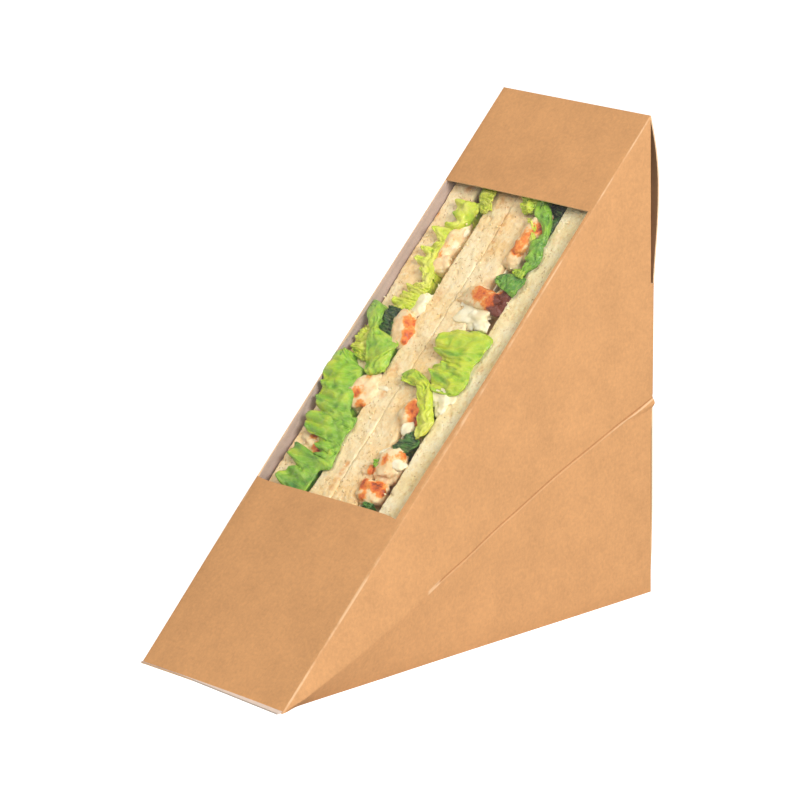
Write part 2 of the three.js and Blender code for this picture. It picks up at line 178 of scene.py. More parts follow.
# Brown uncoated card. Its colour drifts a little over a few millimetres, and short pulp fibres, pale
# and dark, lie over it in every direction. The cut edge is paler. The inner face is paler and greyer,
# partly its own colour and partly a painted reflection of the clear film over it.
def new_group(name, inputs, outputs):
    group = bpy.data.node_groups.new(name, "ShaderNodeTree")
    for socket, kind, value in inputs:
        made = group.interface.new_socket(socket, in_out="INPUT", socket_type=kind)
        made.default_value = value
    for socket, kind in outputs:
        group.interface.new_socket(socket, in_out="OUTPUT", socket_type=kind)
    return group, group.nodes.new("NodeGroupInput"), group.nodes.new("NodeGroupOutput")


def add_noise(tree, vector, scale, detail=3.0, roughness=0.6, distortion=0.0):
    field = tree.nodes.new("ShaderNodeTexNoise")
    field.inputs["Scale"].default_value = scale
    field.inputs["Detail"].default_value = detail
    field.inputs["Roughness"].default_value = roughness
    field.inputs["Distortion"].default_value = distortion
    tree.links.new(vector, field.inputs["Vector"])
    return field.outputs["Fac"]


def add_range(tree, value, low, high, to_low=0.0, to_high=1.0):
    stretch = tree.nodes.new("ShaderNodeMapRange")
    stretch.inputs["From Min"].default_value = low
    stretch.inputs["From Max"].default_value = high
    stretch.inputs["To Min"].default_value = to_low
    stretch.inputs["To Max"].default_value = to_high
    tree.links.new(value, stretch.inputs["Value"])
    return stretch.outputs["Result"]


def add_mix(tree, factor, first, second, blend="MIX"):
    mix = tree.nodes.new("ShaderNodeMix")
    mix.data_type = "RGBA"
    mix.blend_type = blend
    for value, socket in ((factor, mix.inputs[0]), (first, mix.inputs[6]), (second, mix.inputs[7])):
        if isinstance(value, (float, int)):
            socket.default_value = value
        elif isinstance(value, tuple):
            socket.default_value = (*value, 1)
        else:
            tree.links.new(value, socket)
    return mix.outputs[2]


def add_maths(tree, operation, first, second):
    maths = tree.nodes.new("ShaderNodeMath")
    maths.operation = operation
    for value, socket in ((first, maths.inputs[0]), (second, maths.inputs[1])):
        if isinstance(value, (float, int)):
            socket.default_value = value
        else:
            tree.links.new(value, socket)
    return maths.outputs[0]


def product(tree, first, *others):
    for other in others:
        first = add_maths(tree, "MULTIPLY", first, other)
    return first


def mottled(tree, vector, scale, detail, roughness, low, high, to_low=0.0, to_high=1.0):
    return add_range(tree, add_noise(tree, vector, scale, detail, roughness), low, high, to_low, to_high)


def srgb(red, green, blue):
    def linear(level):
        share = level / 255
        return share / 12.92 if share <= 0.04045 else ((share + 0.055) / 1.055) ** 2.4
    return (linear(red), linear(green), linear(blue))


def new_material(name, roughness, specular=0.5):
    """A material, its nodes, its shader and the place on the pack that its patterns follow"""
    material = bpy.data.materials.new(name)
    material.use_nodes = True
    tree = material.node_tree
    shader = tree.nodes["Principled BSDF"]
    shader.inputs["Roughness"].default_value = roughness
    shader.inputs["Specular IOR Level"].default_value = specular
    return material, tree, shader, tree.nodes.new("ShaderNodeTexCoord").outputs["Object"]


def add_relief(tree, shader, height, strength, depth):
    relief = tree.nodes.new("ShaderNodeBump")
    relief.inputs["Strength"].default_value = strength
    relief.inputs["Distance"].default_value = depth
    tree.links.new(height, relief.inputs["Height"])
    tree.links.new(relief.outputs["Normal"], shader.inputs["Normal"])


fibres, fibres_in, fibres_out = new_group(
    "pulp_fibres",
    [("Card", "NodeSocketColor", (*srgb(224, 170, 122), 1)), ("Contrast", "NodeSocketFloat", 1.0)],
    [("Colour", "NodeSocketColor"), ("Height", "NodeSocketFloat")],
)
spot = fibres.nodes.new("ShaderNodeTexCoord").outputs["Object"]
cloud = add_noise(fibres, spot, 170, 4, 0.62)
strand_layers = (
    ((0.4, 0.9, 0.2), (1, 0.3, 0.6), 2200),
    ((1.3, 0.2, 0.9), (0.35, 1, 0.5), 1900),
)
pale_fibres = []
for turn, squeeze, scale in strand_layers:
    mapping = fibres.nodes.new("ShaderNodeMapping")
    mapping.inputs["Rotation"].default_value = turn
    mapping.inputs["Scale"].default_value = squeeze
    fibres.links.new(spot, mapping.inputs["Vector"])
    pale_fibres.append(add_noise(fibres, mapping.outputs["Vector"], scale, 2, 0.5))
strands = product(fibres, *pale_fibres)
drift = add_maths(fibres, "ADD", add_range(fibres, cloud, 0.3, 0.7, -0.045, 0.045),
                  mottled(fibres, spot, 70, 3, 0.55, 0.3, 0.7, -0.045, 0.045))
strand_shade = add_range(fibres, strands, 0.15, 0.36, -0.03, 0.03)
grain = mottled(fibres, spot, 1250, 3, 0.6, 0.3, 0.7, -0.055, 0.055)
shade = add_maths(fibres, "ADD", add_maths(fibres, "ADD", drift, strand_shade), grain)
shade = add_maths(fibres, "ADD", product(fibres, shade, fibres_in.outputs["Contrast"]), 1.0)
brightness = fibres.nodes.new("ShaderNodeVectorMath")
brightness.operation = "SCALE"
fibres.links.new(fibres_in.outputs["Card"], brightness.inputs[0])
fibres.links.new(shade, brightness.inputs["Scale"])
specks = mottled(fibres, spot, 2100, 1, 0.4, 0.70, 0.80, 0, 0.3)
speckled = add_mix(fibres, specks, brightness.outputs[0], srgb(176, 118, 74))
fibres.links.new(speckled, fibres_out.inputs["Colour"])
fibres.links.new(add_maths(fibres, "ADD", strands, product(fibres, cloud, 0.5)), fibres_out.inputs["Height"])


# Where the card is pale along the long folds, partly wear and partly a painted highlight on the rounded
# fold; a painted highlight along the ridge below the gusset crease's score, and a pale tick where the score
# begins; and painted shade along the scored line itself. All are worked out from the place on the pack, in
# metres.
PALE_FOLD_REACH, PALE_FOLD_FULLY = 0.52 * MM, 0.3 * MM
SIDE_BOW = 0.3 * MM
SCORED_FROM, SCORED_FULLY = 47.5 * MM, 50.5 * MM
SCORE_REACH, SCORE_MIDDLE = 0.32 * MM, 0.05 * MM
TICK_START, TICK_END, TICK_SOFTNESS = 45.2 * MM, 50.2 * MM, 0.8 * MM
TICK_REACH, TICK_MIDDLE = 0.6 * MM, 0.3 * MM
HAIRLINE_BELOW, HAIRLINE_REACH, HAIRLINE_MIDDLE = 0.42 * MM, 0.3 * MM, 0.1 * MM
LIFTED_FROM, LIFTED_FULLY = 106 * MM, 116 * MM

marks, _, marks_out = new_group(
    "fold_marks", [], [("Wear_and_highlight", "NodeSocketFloat"), ("Score_shade", "NodeSocketFloat")])
spot = marks.nodes.new("ShaderNodeTexCoord").outputs["Object"]
parts = marks.nodes.new("ShaderNodeSeparateXYZ")
marks.links.new(spot, parts.inputs[0])


def size_of(tree, value):
    return add_maths(tree, "ABSOLUTE", value, 0.0)


def away_from_line(tree, along, along_share, up, up_share):
    return add_maths(tree, "SUBTRACT", product(tree, along, along_share), product(tree, up, up_share))


across, back_along, rise = parts.outputs["X"], parts.outputs["Y"], parts.outputs["Z"]
back_along = add_maths(marks, "SUBTRACT", back_along, FRONT)
from_side = add_maths(marks, "SUBTRACT", HALF_WIDTH + SIDE_BOW, size_of(marks, across))
from_slope = away_from_line(marks, back_along, math.sin(SLOPE_ANGLE), rise, math.cos(SLOPE_ANGLE))
# Pale along the long folds: partly wear where the fibres crack, partly a painted highlight on the rounded
# fold.
near_fold = add_range(marks, add_maths(marks, "MAXIMUM", from_side, from_slope), PALE_FOLD_REACH, PALE_FOLD_FULLY)
streaks = mottled(marks, spot, 110, 4, 0.6, 0.44, 0.6, 0.1, 1.0)
above_crease = away_from_line(marks, rise, math.cos(SLOPE_ANGLE / 2), back_along, math.sin(SLOPE_ANGLE / 2))
line_near = add_range(marks, size_of(marks, above_crease), SCORE_REACH, SCORE_MIDDLE)
far_back = add_range(marks, back_along, SCORED_FROM, SCORED_FULLY)
on_side = add_range(marks, from_side, 2.4 * MM, 2.2 * MM)
# A short pale tick on the side panel where the crease's score begins.
pale_tick = product(marks, add_range(marks, back_along, TICK_START, TICK_START + TICK_SOFTNESS),
               add_range(marks, back_along, TICK_END, TICK_END - TICK_SOFTNESS),
               add_range(marks, size_of(marks, above_crease), TICK_REACH, TICK_MIDDLE), on_side)
# A painted highlight along the ridge just below the scored line, brighter towards the back where the card
# lifts and faces up.
under_line = size_of(marks, add_maths(marks, "ADD", above_crease, HAIRLINE_BELOW))
lifted_end = add_range(marks, back_along, LIFTED_FROM, LIFTED_FULLY, 0.3, 1.1)
near_ridge_highlight = add_range(marks, under_line, HAIRLINE_REACH, HAIRLINE_MIDDLE)
painted_ridge_highlight = product(marks, near_ridge_highlight, far_back, lifted_end, on_side)
wear_and_highlight_streaks = add_maths(marks, "MAXIMUM", product(marks, near_fold, streaks), painted_ridge_highlight)
marks.links.new(add_maths(marks, "MAXIMUM", wear_and_highlight_streaks, pale_tick), marks_out.inputs["Wear_and_highlight"])
# Painted shade along the scored line.
marks.links.new(product(marks, line_near, far_back, on_side), marks_out.inputs["Score_shade"])


def card_material(name, colour, contrast, bump):
    material, tree, shader, _ = new_material(name, 0.82, 0.25)
    pulp = tree.nodes.new("ShaderNodeGroup")
    pulp.node_tree = fibres
    pulp.inputs["Card"].default_value = (*colour, 1)
    pulp.inputs["Contrast"].default_value = contrast
    fold_marks_node = tree.nodes.new("ShaderNodeGroup")
    fold_marks_node.node_tree = marks
    # Pale marks: wear along the folds with painted highlights on the folds and beside the score; the score
    # line gets painted shade.
    wear_and_highlight_share = product(tree, fold_marks_node.outputs["Wear_and_highlight"], 0.45)
    score_shade_share = product(tree, fold_marks_node.outputs["Score_shade"], 0.5)
    paler = add_mix(tree, wear_and_highlight_share, pulp.outputs["Colour"], srgb(250, 214, 172))
    # Painted shade darkens the scored crease line, standing in for the shadow in its groove.
    scored = add_mix(tree, score_shade_share, paler, srgb(160, 104, 62))
    tree.links.new(scored, shader.inputs["Base Color"])
    add_relief(tree, shader, pulp.outputs["Height"], bump, 0.06 * MM)
    return material


card_face = card_material("brown_card", srgb(210, 156, 105), 1.0, 0.4)
# Inner faces: paler and greyer than the outside, partly the card's own inner colour and partly a painted
# reflection of the film.
card_inside_with_reflection = card_material("card_inside_with_reflection", srgb(190, 168, 156), 0.6, 0.3)
lid_inside = card_material("panel_inside", srgb(190, 146, 108), 0.8, 0.4)
card_edge = card_material("card_cut_edge", srgb(238, 202, 162), 0.6, 0.2)


# The carton is one die-cut sheet, folded and glued. Its sides bow out beside the diagonal gusset
# crease near the front corners and dip in further back, and the crease is scored behind its middle.
WINDOW_FOOT = 54.0 * MM
WINDOW_TOP = SLOPE_LENGTH - 29.2 * MM
WINDOW_RIGHT = HALF_WIDTH - 1.0 * MM
CREASE = math.tan(SLOPE_ANGLE / 2)
TAB_FOOT = DEPTH * CREASE + 1.0 * MM
TAB_TOP = TAB_FOOT + 28.6 * MM
SCORE_START = 0.385
SCORE_DEPTH = 0.13 * MM


def between(value, points):
    for (start, low), (end, high) in zip(points, points[1:]):
        if value <= end:
            share = max(0.0, (value - start) / (end - start))
            return low + (high - low) * share * share * (3 - 2 * share)
    return points[-1][1]


def crease_bow(back):
    return MM * between(back, [(0, 0), (0.06, 1.5), (0.2, 2.2), (0.3, 2.1), (0.45, 0.7), (0.6, -0.5),
                               (0.74, -1.1), (0.88, -0.6), (1, 0.1)])


def base_bow(back):
    return MM * between(back, [(0, 0.2), (0.05, -1.2), (0.3, -0.9), (1, 0)])


def fold_bow(back):
    return MM * between(back, [(0, 0), (0.3, 0.5), (0.45, 0.5), (0.8, 0), (1, 0)])


def score(distance, width=0.3 * MM):
    return max(0.0, 1 - abs(distance) / width)


def side_point(side, back, rise):
    """A point of a side panel: its share of the way back, and its height as a share of that distance"""
    height = back * DEPTH * rise * HEIGHT / DEPTH
    bow = crease_bow(back)
    softness = between(back, [(0.1, 0.08), (0.24, 0.035), (0.4, 0.02)])
    edge, span = (base_bow(back), CREASE) if rise < CREASE else (fold_bow(back), 1 - CREASE)
    away = abs(rise - CREASE) / span
    ridge = 1 - (math.hypot(away, softness) - softness) / (math.hypot(1, softness) - softness)
    out = edge + (bow - edge) * ridge
    from_crease = (rise - CREASE) * back * DEPTH
    scored = between(back, [(SCORE_START - 0.01, 0), (SCORE_START + 0.01, 1)])
    out -= SCORE_DEPTH * scored * score(from_crease)
    out += 0.5 * SCORE_DEPTH * scored * score(from_crease + 0.5 * MM, 0.4 * MM)
    parting = between(back, [(0.9, 0), (1, 2.4)]) * MM
    if back > 0.9:
        out -= SCORE_DEPTH * score(from_crease + parting)
        lifted = max(0.0, 1 - abs(from_crease + parting / 2) / (parting / 2 + 0.05 * MM))
        out += 0.5 * MM * lifted * (back - 0.9) / 0.1
    swell = noise.noise(Vector((side * 3, back * 3.1, height * 22))) * 0.35 * MM
    out += swell * math.sin(math.pi * min(1, back)) * math.sin(math.pi * rise) ** 0.5
    push = 0
    if back > 0.97:
        near = (back - 0.97) / 0.03
        first = max(0.0, 1 - ((height - 50.0 * MM) / (1.8 * MM)) ** 2)
        second = max(0.0, 1 - ((height - 45.4 * MM) / (2.6 * MM)) ** 2)
        push = near * (0.9 * MM * math.sqrt(first) + 0.45 * MM * math.sqrt(second))
    return Vector((side * (HALF_WIDTH + out), FRONT + back * DEPTH + push, height))


def slope_point(across, back):
    """A point of the sloping front: across from -1 to 1, and its share of the way back"""
    up = back * SLOPE_LENGTH
    reach = HALF_WIDTH + fold_bow(back)
    crown = between(back, [(0, 0), (0.2, 0.35), (0.33, 0.6), (0.8, 0.35), (0.9, 0.5), (1, 0)]) * MM
    up += (0.1 + 0.7 * across) * (1 - across ** 8) * MM * between(back, [(0.22, 0), (0.31, 1), (0.4, 0)])
    narrower = between(back, [(0.2, 0), (0.31, 1.3), (0.62, 0)]) * MM
    narrower *= between(across, [(0.7, 0), (WINDOW_RIGHT / HALF_WIDTH, 1), (1, 0)])
    return below_slope(across * reach - narrower, up, -crown * (1 - across * across))


def spread_out(low, high, count):
    return [low + (high - low) * step / count for step in range(count)]


def new_mesh(name, points, faces):
    data = bpy.data.meshes.new(name)
    data.from_pydata([tuple(point) for point in points], [], faces)
    return data


def new_piece(name, data):
    piece = bpy.data.objects.new(name, data)
    bpy.context.collection.objects.link(piece)
    return piece


def smooth(data):
    for polygon in data.polygons:
        polygon.use_smooth = True


def apply_modifiers(piece):
    bpy.context.view_layer.update()
    made = bpy.data.meshes.new_from_object(piece.evaluated_get(bpy.context.evaluated_depsgraph_get()))
    piece.modifiers.clear()
    piece.data = made


class Sheet:
    """Collects the faces of a folded sheet, and joins the corners that lie on each other"""

    def __init__(self):
        self.points = []
        self.found = {}
        self.faces = []

    def corner(self, point):
        key = tuple(round(value / (0.001 * MM)) for value in point)
        if key not in self.found:
            self.found[key] = len(self.points)
            self.points.append(point)
        return self.found[key]

    def patch(self, rows, flipped=False):
        numbered = [[self.corner(point) for point in row] for row in rows]
        for lower, upper in zip(numbered, numbered[1:]):
            for index in range(len(lower) - 1):
                face = [lower[index], lower[index + 1], upper[index + 1], upper[index]]
                face = [corner for step, corner in enumerate(face) if corner != face[step - 1]]
                if len(face) > 2:
                    self.faces.append(face[::-1] if flipped else face)

    def mesh(self, name):
        data = new_mesh(name, self.points, self.faces)
        data.validate()
        return new_piece(name, data)


foot_share = WINDOW_FOOT / SLOPE_LENGTH
top_share = WINDOW_TOP / SLOPE_LENGTH
backs = (spread_out(0, 0.1, 10) + spread_out(0.1, foot_share, 10) + spread_out(foot_share, top_share, 30)
         + spread_out(top_share, 0.9, 4) + spread_out(0.9, 0.97, 6) + spread_out(0.97, 1, 4) + [1.0])
near_crease = [-3.4, -2.9, -2.4, -2.0, -1.6, -1.2, -0.9, -0.7, -0.5, -0.3, -0.15, 0, 0.15, 0.3, 0.6, 1.0]
tab_rises = (TAB_FOOT / HEIGHT, TAB_TOP / HEIGHT)


def rises_at(back):
    room = 0.12 * min(1, back * 6)
    tight = min(MM / max(back * DEPTH, MM), room / 3.4)
    low_end = CREASE + near_crease[0] * tight
    high_end = CREASE + near_crease[-1] * tight
    first_tab = max(tab_rises[0], high_end + 0.001)
    below_tab = spread_out(0, low_end, 9) + [CREASE + step * tight for step in near_crease]
    on_tab = [first_tab] + spread_out(first_tab, tab_rises[1], 7)[1:]
    return below_tab + on_tab + spread_out(tab_rises[1], 1, 10) + [1.0]


TAB_TAPER = 4 * MM
TAB_TAPER_FROM, TAB_REACH = 2.5, 18
tab_stand_off = ((1.0, 0.72), (2.5, 0.66), (8, 0.55), (TAB_REACH, 0.5))
carton_sheet = Sheet()
acrosses = spread_out(-1, WINDOW_RIGHT / HALF_WIDTH, 22)
acrosses += [WINDOW_RIGHT / HALF_WIDTH, 1.0]
low_backs = [back for back in backs if back <= foot_share + 1e-9]
high_backs = [back for back in backs if back >= top_share - 1e-9]
window_backs = [back for back in backs if foot_share - 1e-9 <= back <= top_share + 1e-9]
carton_sheet.patch([[slope_point(across, back) for across in acrosses] for back in low_backs])
carton_sheet.patch([[slope_point(across, back) for across in acrosses] for back in high_backs])
carton_sheet.patch([[slope_point(across, back) for across in acrosses[-2:]] for back in window_backs])
for side in (-1, 1):
    rows = [[side_point(side, back, rise) for rise in rises_at(back)] for back in backs]
    carton_sheet.patch(rows, flipped=side > 0)
base_backs = [back for back in backs if back < 1] + [1 - 0.3 * MM / DEPTH]
carton_sheet.patch([
    [Vector((across * (HALF_WIDTH + base_bow(back)), FRONT + back * DEPTH, 0)) for across in acrosses]
    for back in base_backs
], flipped=True)
for side in (-1, 1):
    rows = []
    for rise in [value for value in rises_at(1.0) if tab_rises[0] - 1e-9 <= value <= tab_rises[1] + 1e-9]:
        start = side_point(side, 1.0, rise)
        share = (rise - tab_rises[0]) / (tab_rises[1] - tab_rises[0])
        proud = 0.75 + 0.35 * share
        row = [start]
        for inward, stand_off in ((0, proud), *tab_stand_off):
            taper = max(0, inward - TAB_TAPER_FROM) / (TAB_REACH - TAB_TAPER_FROM) * TAB_TAPER
            height = start.z + (0.5 - share) * 2 * taper
            row.append(Vector((side * (HALF_WIDTH - inward * MM), FRONT + DEPTH + stand_off * MM, height)))
        rows.append(row)
    carton_sheet.patch(rows, flipped=side < 0)

# The left end of the front edge is pushed in and forward a little, and the panels follow it.
CORNER_PUSH = Vector((1.6, -1.6, 0)) * MM
PUSH_REACH = 45 * MM
pushed_corner = Vector((-HALF_WIDTH, FRONT, 0))
for point in carton_sheet.points:
    point += CORNER_PUSH * max(0.0, 1 - (point - pushed_corner).length / PUSH_REACH) ** 1.5
carton = carton_sheet.mesh("folded_carton")
for material in (card_face, card_inside_with_reflection, card_edge):
    carton.data.materials.append(material)


def finish_card(piece, fold_radius=0.3 * MM):
    rounding = piece.modifiers.new("rounded_folds", "BEVEL")
    rounding.width = fold_radius
    rounding.segments = 3
    rounding.limit_method = "ANGLE"
    rounding.angle_limit = math.radians(35)
    thickness = piece.modifiers.new("card_thickness", "SOLIDIFY")
    thickness.thickness = CARD
    thickness.offset = -1
    thickness.use_even_offset = True
    thickness.material_offset = 1
    thickness.material_offset_rim = 2
    apply_modifiers(piece)
    smooth(piece.data)
    piece.data.set_sharp_from_angle(angle=math.radians(30))


finish_card(carton)
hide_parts("carton")
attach(carton, "pack")


# The slope's own glue flap turns in under the base. Its edge stands out a little under the front edge, a
# little more towards the right. The flap is coloured pale all over: partly a pale cut edge, partly painted
# light reflected up from the white table.
FLAP_LEFT, FLAP_RIGHT = -14 * MM, HALF_WIDTH - 0.3 * MM
FLAP_STANDS_OUT = 1.15 * MM
FLAP_TURNS_IN = 3 * MM
FLAP_ABOVE_TABLE = 0.02 * MM
flap_sheet = Sheet()
flap_rows = []
for across in (FLAP_LEFT, FLAP_LEFT + 12 * MM, FLAP_RIGHT - 12 * MM, FLAP_RIGHT):
    share = (across - FLAP_LEFT) / (FLAP_RIGHT - FLAP_LEFT)
    flap_rows.append([
        Vector((across, FRONT - FLAP_STANDS_OUT * (0.5 + 0.5 * share), FLAP_ABOVE_TABLE)),
        Vector((across, FRONT + FLAP_TURNS_IN / 2, FLAP_ABOVE_TABLE)),
        Vector((across, FRONT + FLAP_TURNS_IN, FLAP_ABOVE_TABLE)),
    ])
flap_sheet.patch(flap_rows)
flap = flap_sheet.mesh("front_glue_flap")
# Pale pinkish white: partly the cut edge's colour, partly painted light from the white table below.
flap_pale_and_lit = card_material("flap_edge_and_bounce_light", srgb(222, 204, 190), 0.4, 0.2)
for material in (flap_pale_and_lit, flap_pale_and_lit, flap_pale_and_lit):
    flap.data.materials.append(material)
finish_card(flap)
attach(flap, "pack")


# The back panel is the same card. It bulges behind the sandwiches, stands a little outside the dust
# tabs, and its tuck flap goes down inside the top of the slope.
LID_HALF = HALF_WIDTH - LID_INSET
LID_RISE = 122.7
lid_profile = [(0, 0.4), (10, 1.15), (20, 1.45), (36, 1.5), (52, 1.5), (66, 1.6), (79.6, 1.9), (88, 2.7),
               (95, 3.45), (103, 3.85), (109, 3.7), (115, 2.9), (119.5, 1.8), (LID_RISE, 1.0)]
TUCK_FACE = 0.72 * MM
TUCK_LENGTH = 14 * MM


def lid_stand_off(height):
    for (low, first), (high, second) in zip(lid_profile, lid_profile[1:]):
        if height <= high:
            share = (height - low) / (high - low)
            return (first + (second - first) * share) * MM
    return lid_profile[-1][1] * MM


lid_rows = []
for height in spread_out(0, LID_RISE, 62) + [LID_RISE]:
    off = sum(lid_stand_off(min(LID_RISE, max(0, height + step))) for step in (-3, -1, 1, 3)) / 4
    if height < 4 or height > 118:
        off = lid_stand_off(height)
    row = []
    for across in spread_out(-1, 1, 16) + [1.0]:
        belly = 0.25 * MM * (1 - across * across) * math.sin(math.pi * height / LID_RISE)
        row.append(Vector((across * LID_HALF, FRONT + DEPTH + off + belly, height * MM)))
    lid_rows.append(row)
flap_start = (lid_rows[-1][0].y - FRONT - TUCK_FACE * math.sin(SLOPE_ANGLE)) / math.cos(SLOPE_ANGLE)
for step in range(1, 11):
    run = step / 10
    taper = 4 * MM * run + 3.5 * MM * max(0, run - 0.75) ** 2 * 16
    half = LID_HALF - taper
    lid_rows.append([below_slope(across * half, flap_start - TUCK_LENGTH * run, TUCK_FACE)
                     for across in spread_out(-1, 1, 16) + [1.0]])
lid_sheet = Sheet()
lid_sheet.patch(lid_rows, flipped=True)
lid = lid_sheet.mesh("back_panel")
for material in (card_face, lid_inside, card_edge):
    lid.data.materials.append(material)
finish_card(lid)
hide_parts("back_lid")
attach(lid, "lid")


# Clear film glued behind the window. The sandwiches press it slightly outwards, most of all where the
# large leaf on the left pushes it out over the edge of the card.
FILM_LAP = 8 * MM
film_low, film_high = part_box("window_film")
LEAF_PUSH = 1.7 * MM
PUSH_UP = 87 * MM
PUSH_LENGTH = 7.5 * MM


def leaf_push(x, up):
    side_on = math.exp(-((x + 24.6 * MM) / (4.5 * MM)) ** 2)
    return LEAF_PUSH * side_on * math.exp(-((up - PUSH_UP) / PUSH_LENGTH) ** 2)


def film_down(x, up):
    """How deep the film lies below the slope; less than nothing where it bulges out"""
    inside = max(0.0, min(1.0, (up - WINDOW_FOOT) / (WINDOW_TOP - WINDOW_FOOT)))
    swell = 1.3 * MM * math.sin(math.pi * inside) ** 0.6 * (1 - min(1, abs(x / film_high.x)) ** 8)
    ripple = 0.12 * MM * noise.noise(Vector((x * 60, up * 28, 4)))
    return CARD + 0.12 * MM - swell - ripple - leaf_push(x, up)


def under_film(point, room=0.15 * MM):
    """The same point, or the nearest below it that the film leaves room for"""
    from_edge = point - Vector((0, FRONT, 0))
    short = film_down(point.x, from_edge.dot(UP_SLOPE)) + room - from_edge.dot(INTO_SLOPE)
    return point + INTO_SLOPE * max(0.0, short)


film_sheet = Sheet()
film_rows = []
for up in spread_out(WINDOW_FOOT - FILM_LAP, WINDOW_TOP + FILM_LAP, 60) + [WINDOW_TOP + FILM_LAP]:
    row = [below_slope(film_low.x, up, CARD + 0.12 * MM)]
    for step in range(1, 32):
        x = film_high.x * math.sin((step / 16 - 1) * math.pi / 2)
        over_edge = 0.5 * leaf_push(x, up) * math.exp(-((x + 25 * MM) / MM) ** 2)
        row.append(below_slope(x - over_edge, up, film_down(x, up)))
    row.append(below_slope(film_high.x, up, CARD + 0.12 * MM))
    film_rows.append(row)
film_sheet.patch(film_rows)
film = film_sheet.mesh("clear_window_film")
film_material = bpy.data.materials.new("clear_film")
film_material.use_nodes = True
tree = film_material.node_tree
shader = tree.nodes["Principled BSDF"]
shader.inputs["Base Color"].default_value = (0.95, 0.95, 0.95, 1)
shader.inputs["Roughness"].default_value = 0.06
facing = tree.nodes.new("ShaderNodeLayerWeight")
facing.inputs["Blend"].default_value = 0.5
glancing = add_maths(tree, "POWER", facing.outputs["Facing"], 3.0)
tree.links.new(add_range(tree, glancing, 0, 1, 0.003, 0.25), shader.inputs["Alpha"])
film.data.materials.append(film_material)
thickness = film.modifiers.new("film_thickness", "SOLIDIFY")
thickness.thickness = 0.05 * MM
thickness.offset = -1
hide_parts("window_film")
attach(film, "pack")


# Four slices of white bread, cut corner to corner, with a thin baked crust round their two whole
# sides. The crumb is soft and full of small holes.
bread_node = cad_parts["bread_outer_left"]
CUT_DOWN = min((vertex.co - Vector((0, FRONT, 0))).dot(INTO_SLOPE) for vertex in bread_node.data.vertices)
bread_low, bread_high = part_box("bread_outer_left")
HEEL, TOE = 6 * MM, 7 * MM


def seen_at(across, up, down):
    return below_slope(across * MM, up * MM, 0) + backward * (down * MM / backward.dot(INTO_SLOPE))


def height_on_slope(back, down):
    return (back * math.sin(SLOPE_ANGLE) - down) / math.cos(SLOPE_ANGLE)


def back_on_slope(height, down):
    return (height * math.cos(SLOPE_ANGLE) + down) / math.sin(SLOPE_ANGLE)


def arc(centre, radius, start, end, count):
    turns = [start + (end - start) * step / count for step in range(count + 1)]
    return [(centre[0] + radius * math.cos(turn), centre[1] + radius * math.sin(turn)) for turn in turns]


def line(start, end, spacing):
    count = max(1, round(math.dist(start, end) / spacing))
    return [(start[0] + (end[0] - start[0]) * step / count, start[1] + (end[1] - start[1]) * step / count)
            for step in range(1, count)]


def wedge_outline(inset, spacing, crust_spacing):
    """The slice seen from the side: distances back and heights, and which of them are crumb"""
    floor_height = bread_low.z + inset
    back = bread_high.y - FRONT - inset
    crown_top = bread_high.z
    full_back = bread_high.y - FRONT
    past_crown = height_on_slope(full_back, CUT_DOWN) - crown_top
    crown = past_crown / (math.tan(SLOPE_ANGLE) - math.sin(SLOPE_ANGLE)) - inset
    heel, toe = max(1 * MM, HEEL - inset), max(1 * MM, TOE - inset)
    crown_height = height_on_slope(back - crown, CUT_DOWN)
    toe_back = back_on_slope(floor_height + toe, CUT_DOWN)
    crown_arc = arc((back - crown, crown_height), crown, 0, SLOPE_ANGLE, 26)
    toe_arc = arc((toe_back, floor_height + toe), toe, math.pi + SLOPE_ANGLE, 1.5 * math.pi, 8)
    heel_arc = arc((back - heel, floor_height + heel), heel, -math.pi / 2, 0, 10)
    cut = line(crown_arc[-1], toe_arc[0], spacing)
    parts = [(crown_arc, False), (cut, True), (toe_arc, False),
             (line(toe_arc[-1], heel_arc[0], crust_spacing), False), (heel_arc, False),
             (line(heel_arc[-1], crown_arc[0], crust_spacing), False)]
    return [(point, crumb) for points, crumb in parts for point in points]


def read_mask(tree, name):
    reader = tree.nodes.new("ShaderNodeAttribute")
    reader.attribute_name = name
    return reader.outputs["Fac"]


def let_light_in(shader, weight, radius):
    shader.inputs["Subsurface Weight"].default_value = weight
    shader.inputs["Subsurface Radius"].default_value = radius
    shader.inputs["Subsurface Scale"].default_value = 1.0


bread_material, tree, shader, spot = new_material("bread", 0.9, 0.2)
warmth = read_mask(tree, "warmth")
fine = add_noise(tree, spot, 1100, 3, 0.65)
pale = add_mix(tree, warmth, srgb(255, 242, 202), srgb(255, 234, 190))
deep = add_mix(tree, warmth, srgb(244, 224, 168), srgb(252, 212, 150))
crumb = add_mix(tree, mottled(tree, spot, 130, 4, 0.6, 0.36, 0.64), deep, pale)
crumb = add_mix(tree, add_range(tree, fine, 0.54, 0.72, 0, 0.45), crumb, srgb(255, 250, 228))
crumb = add_mix(tree, add_range(tree, fine, 0.46, 0.30, 0, 0.5), crumb, srgb(224, 182, 116))
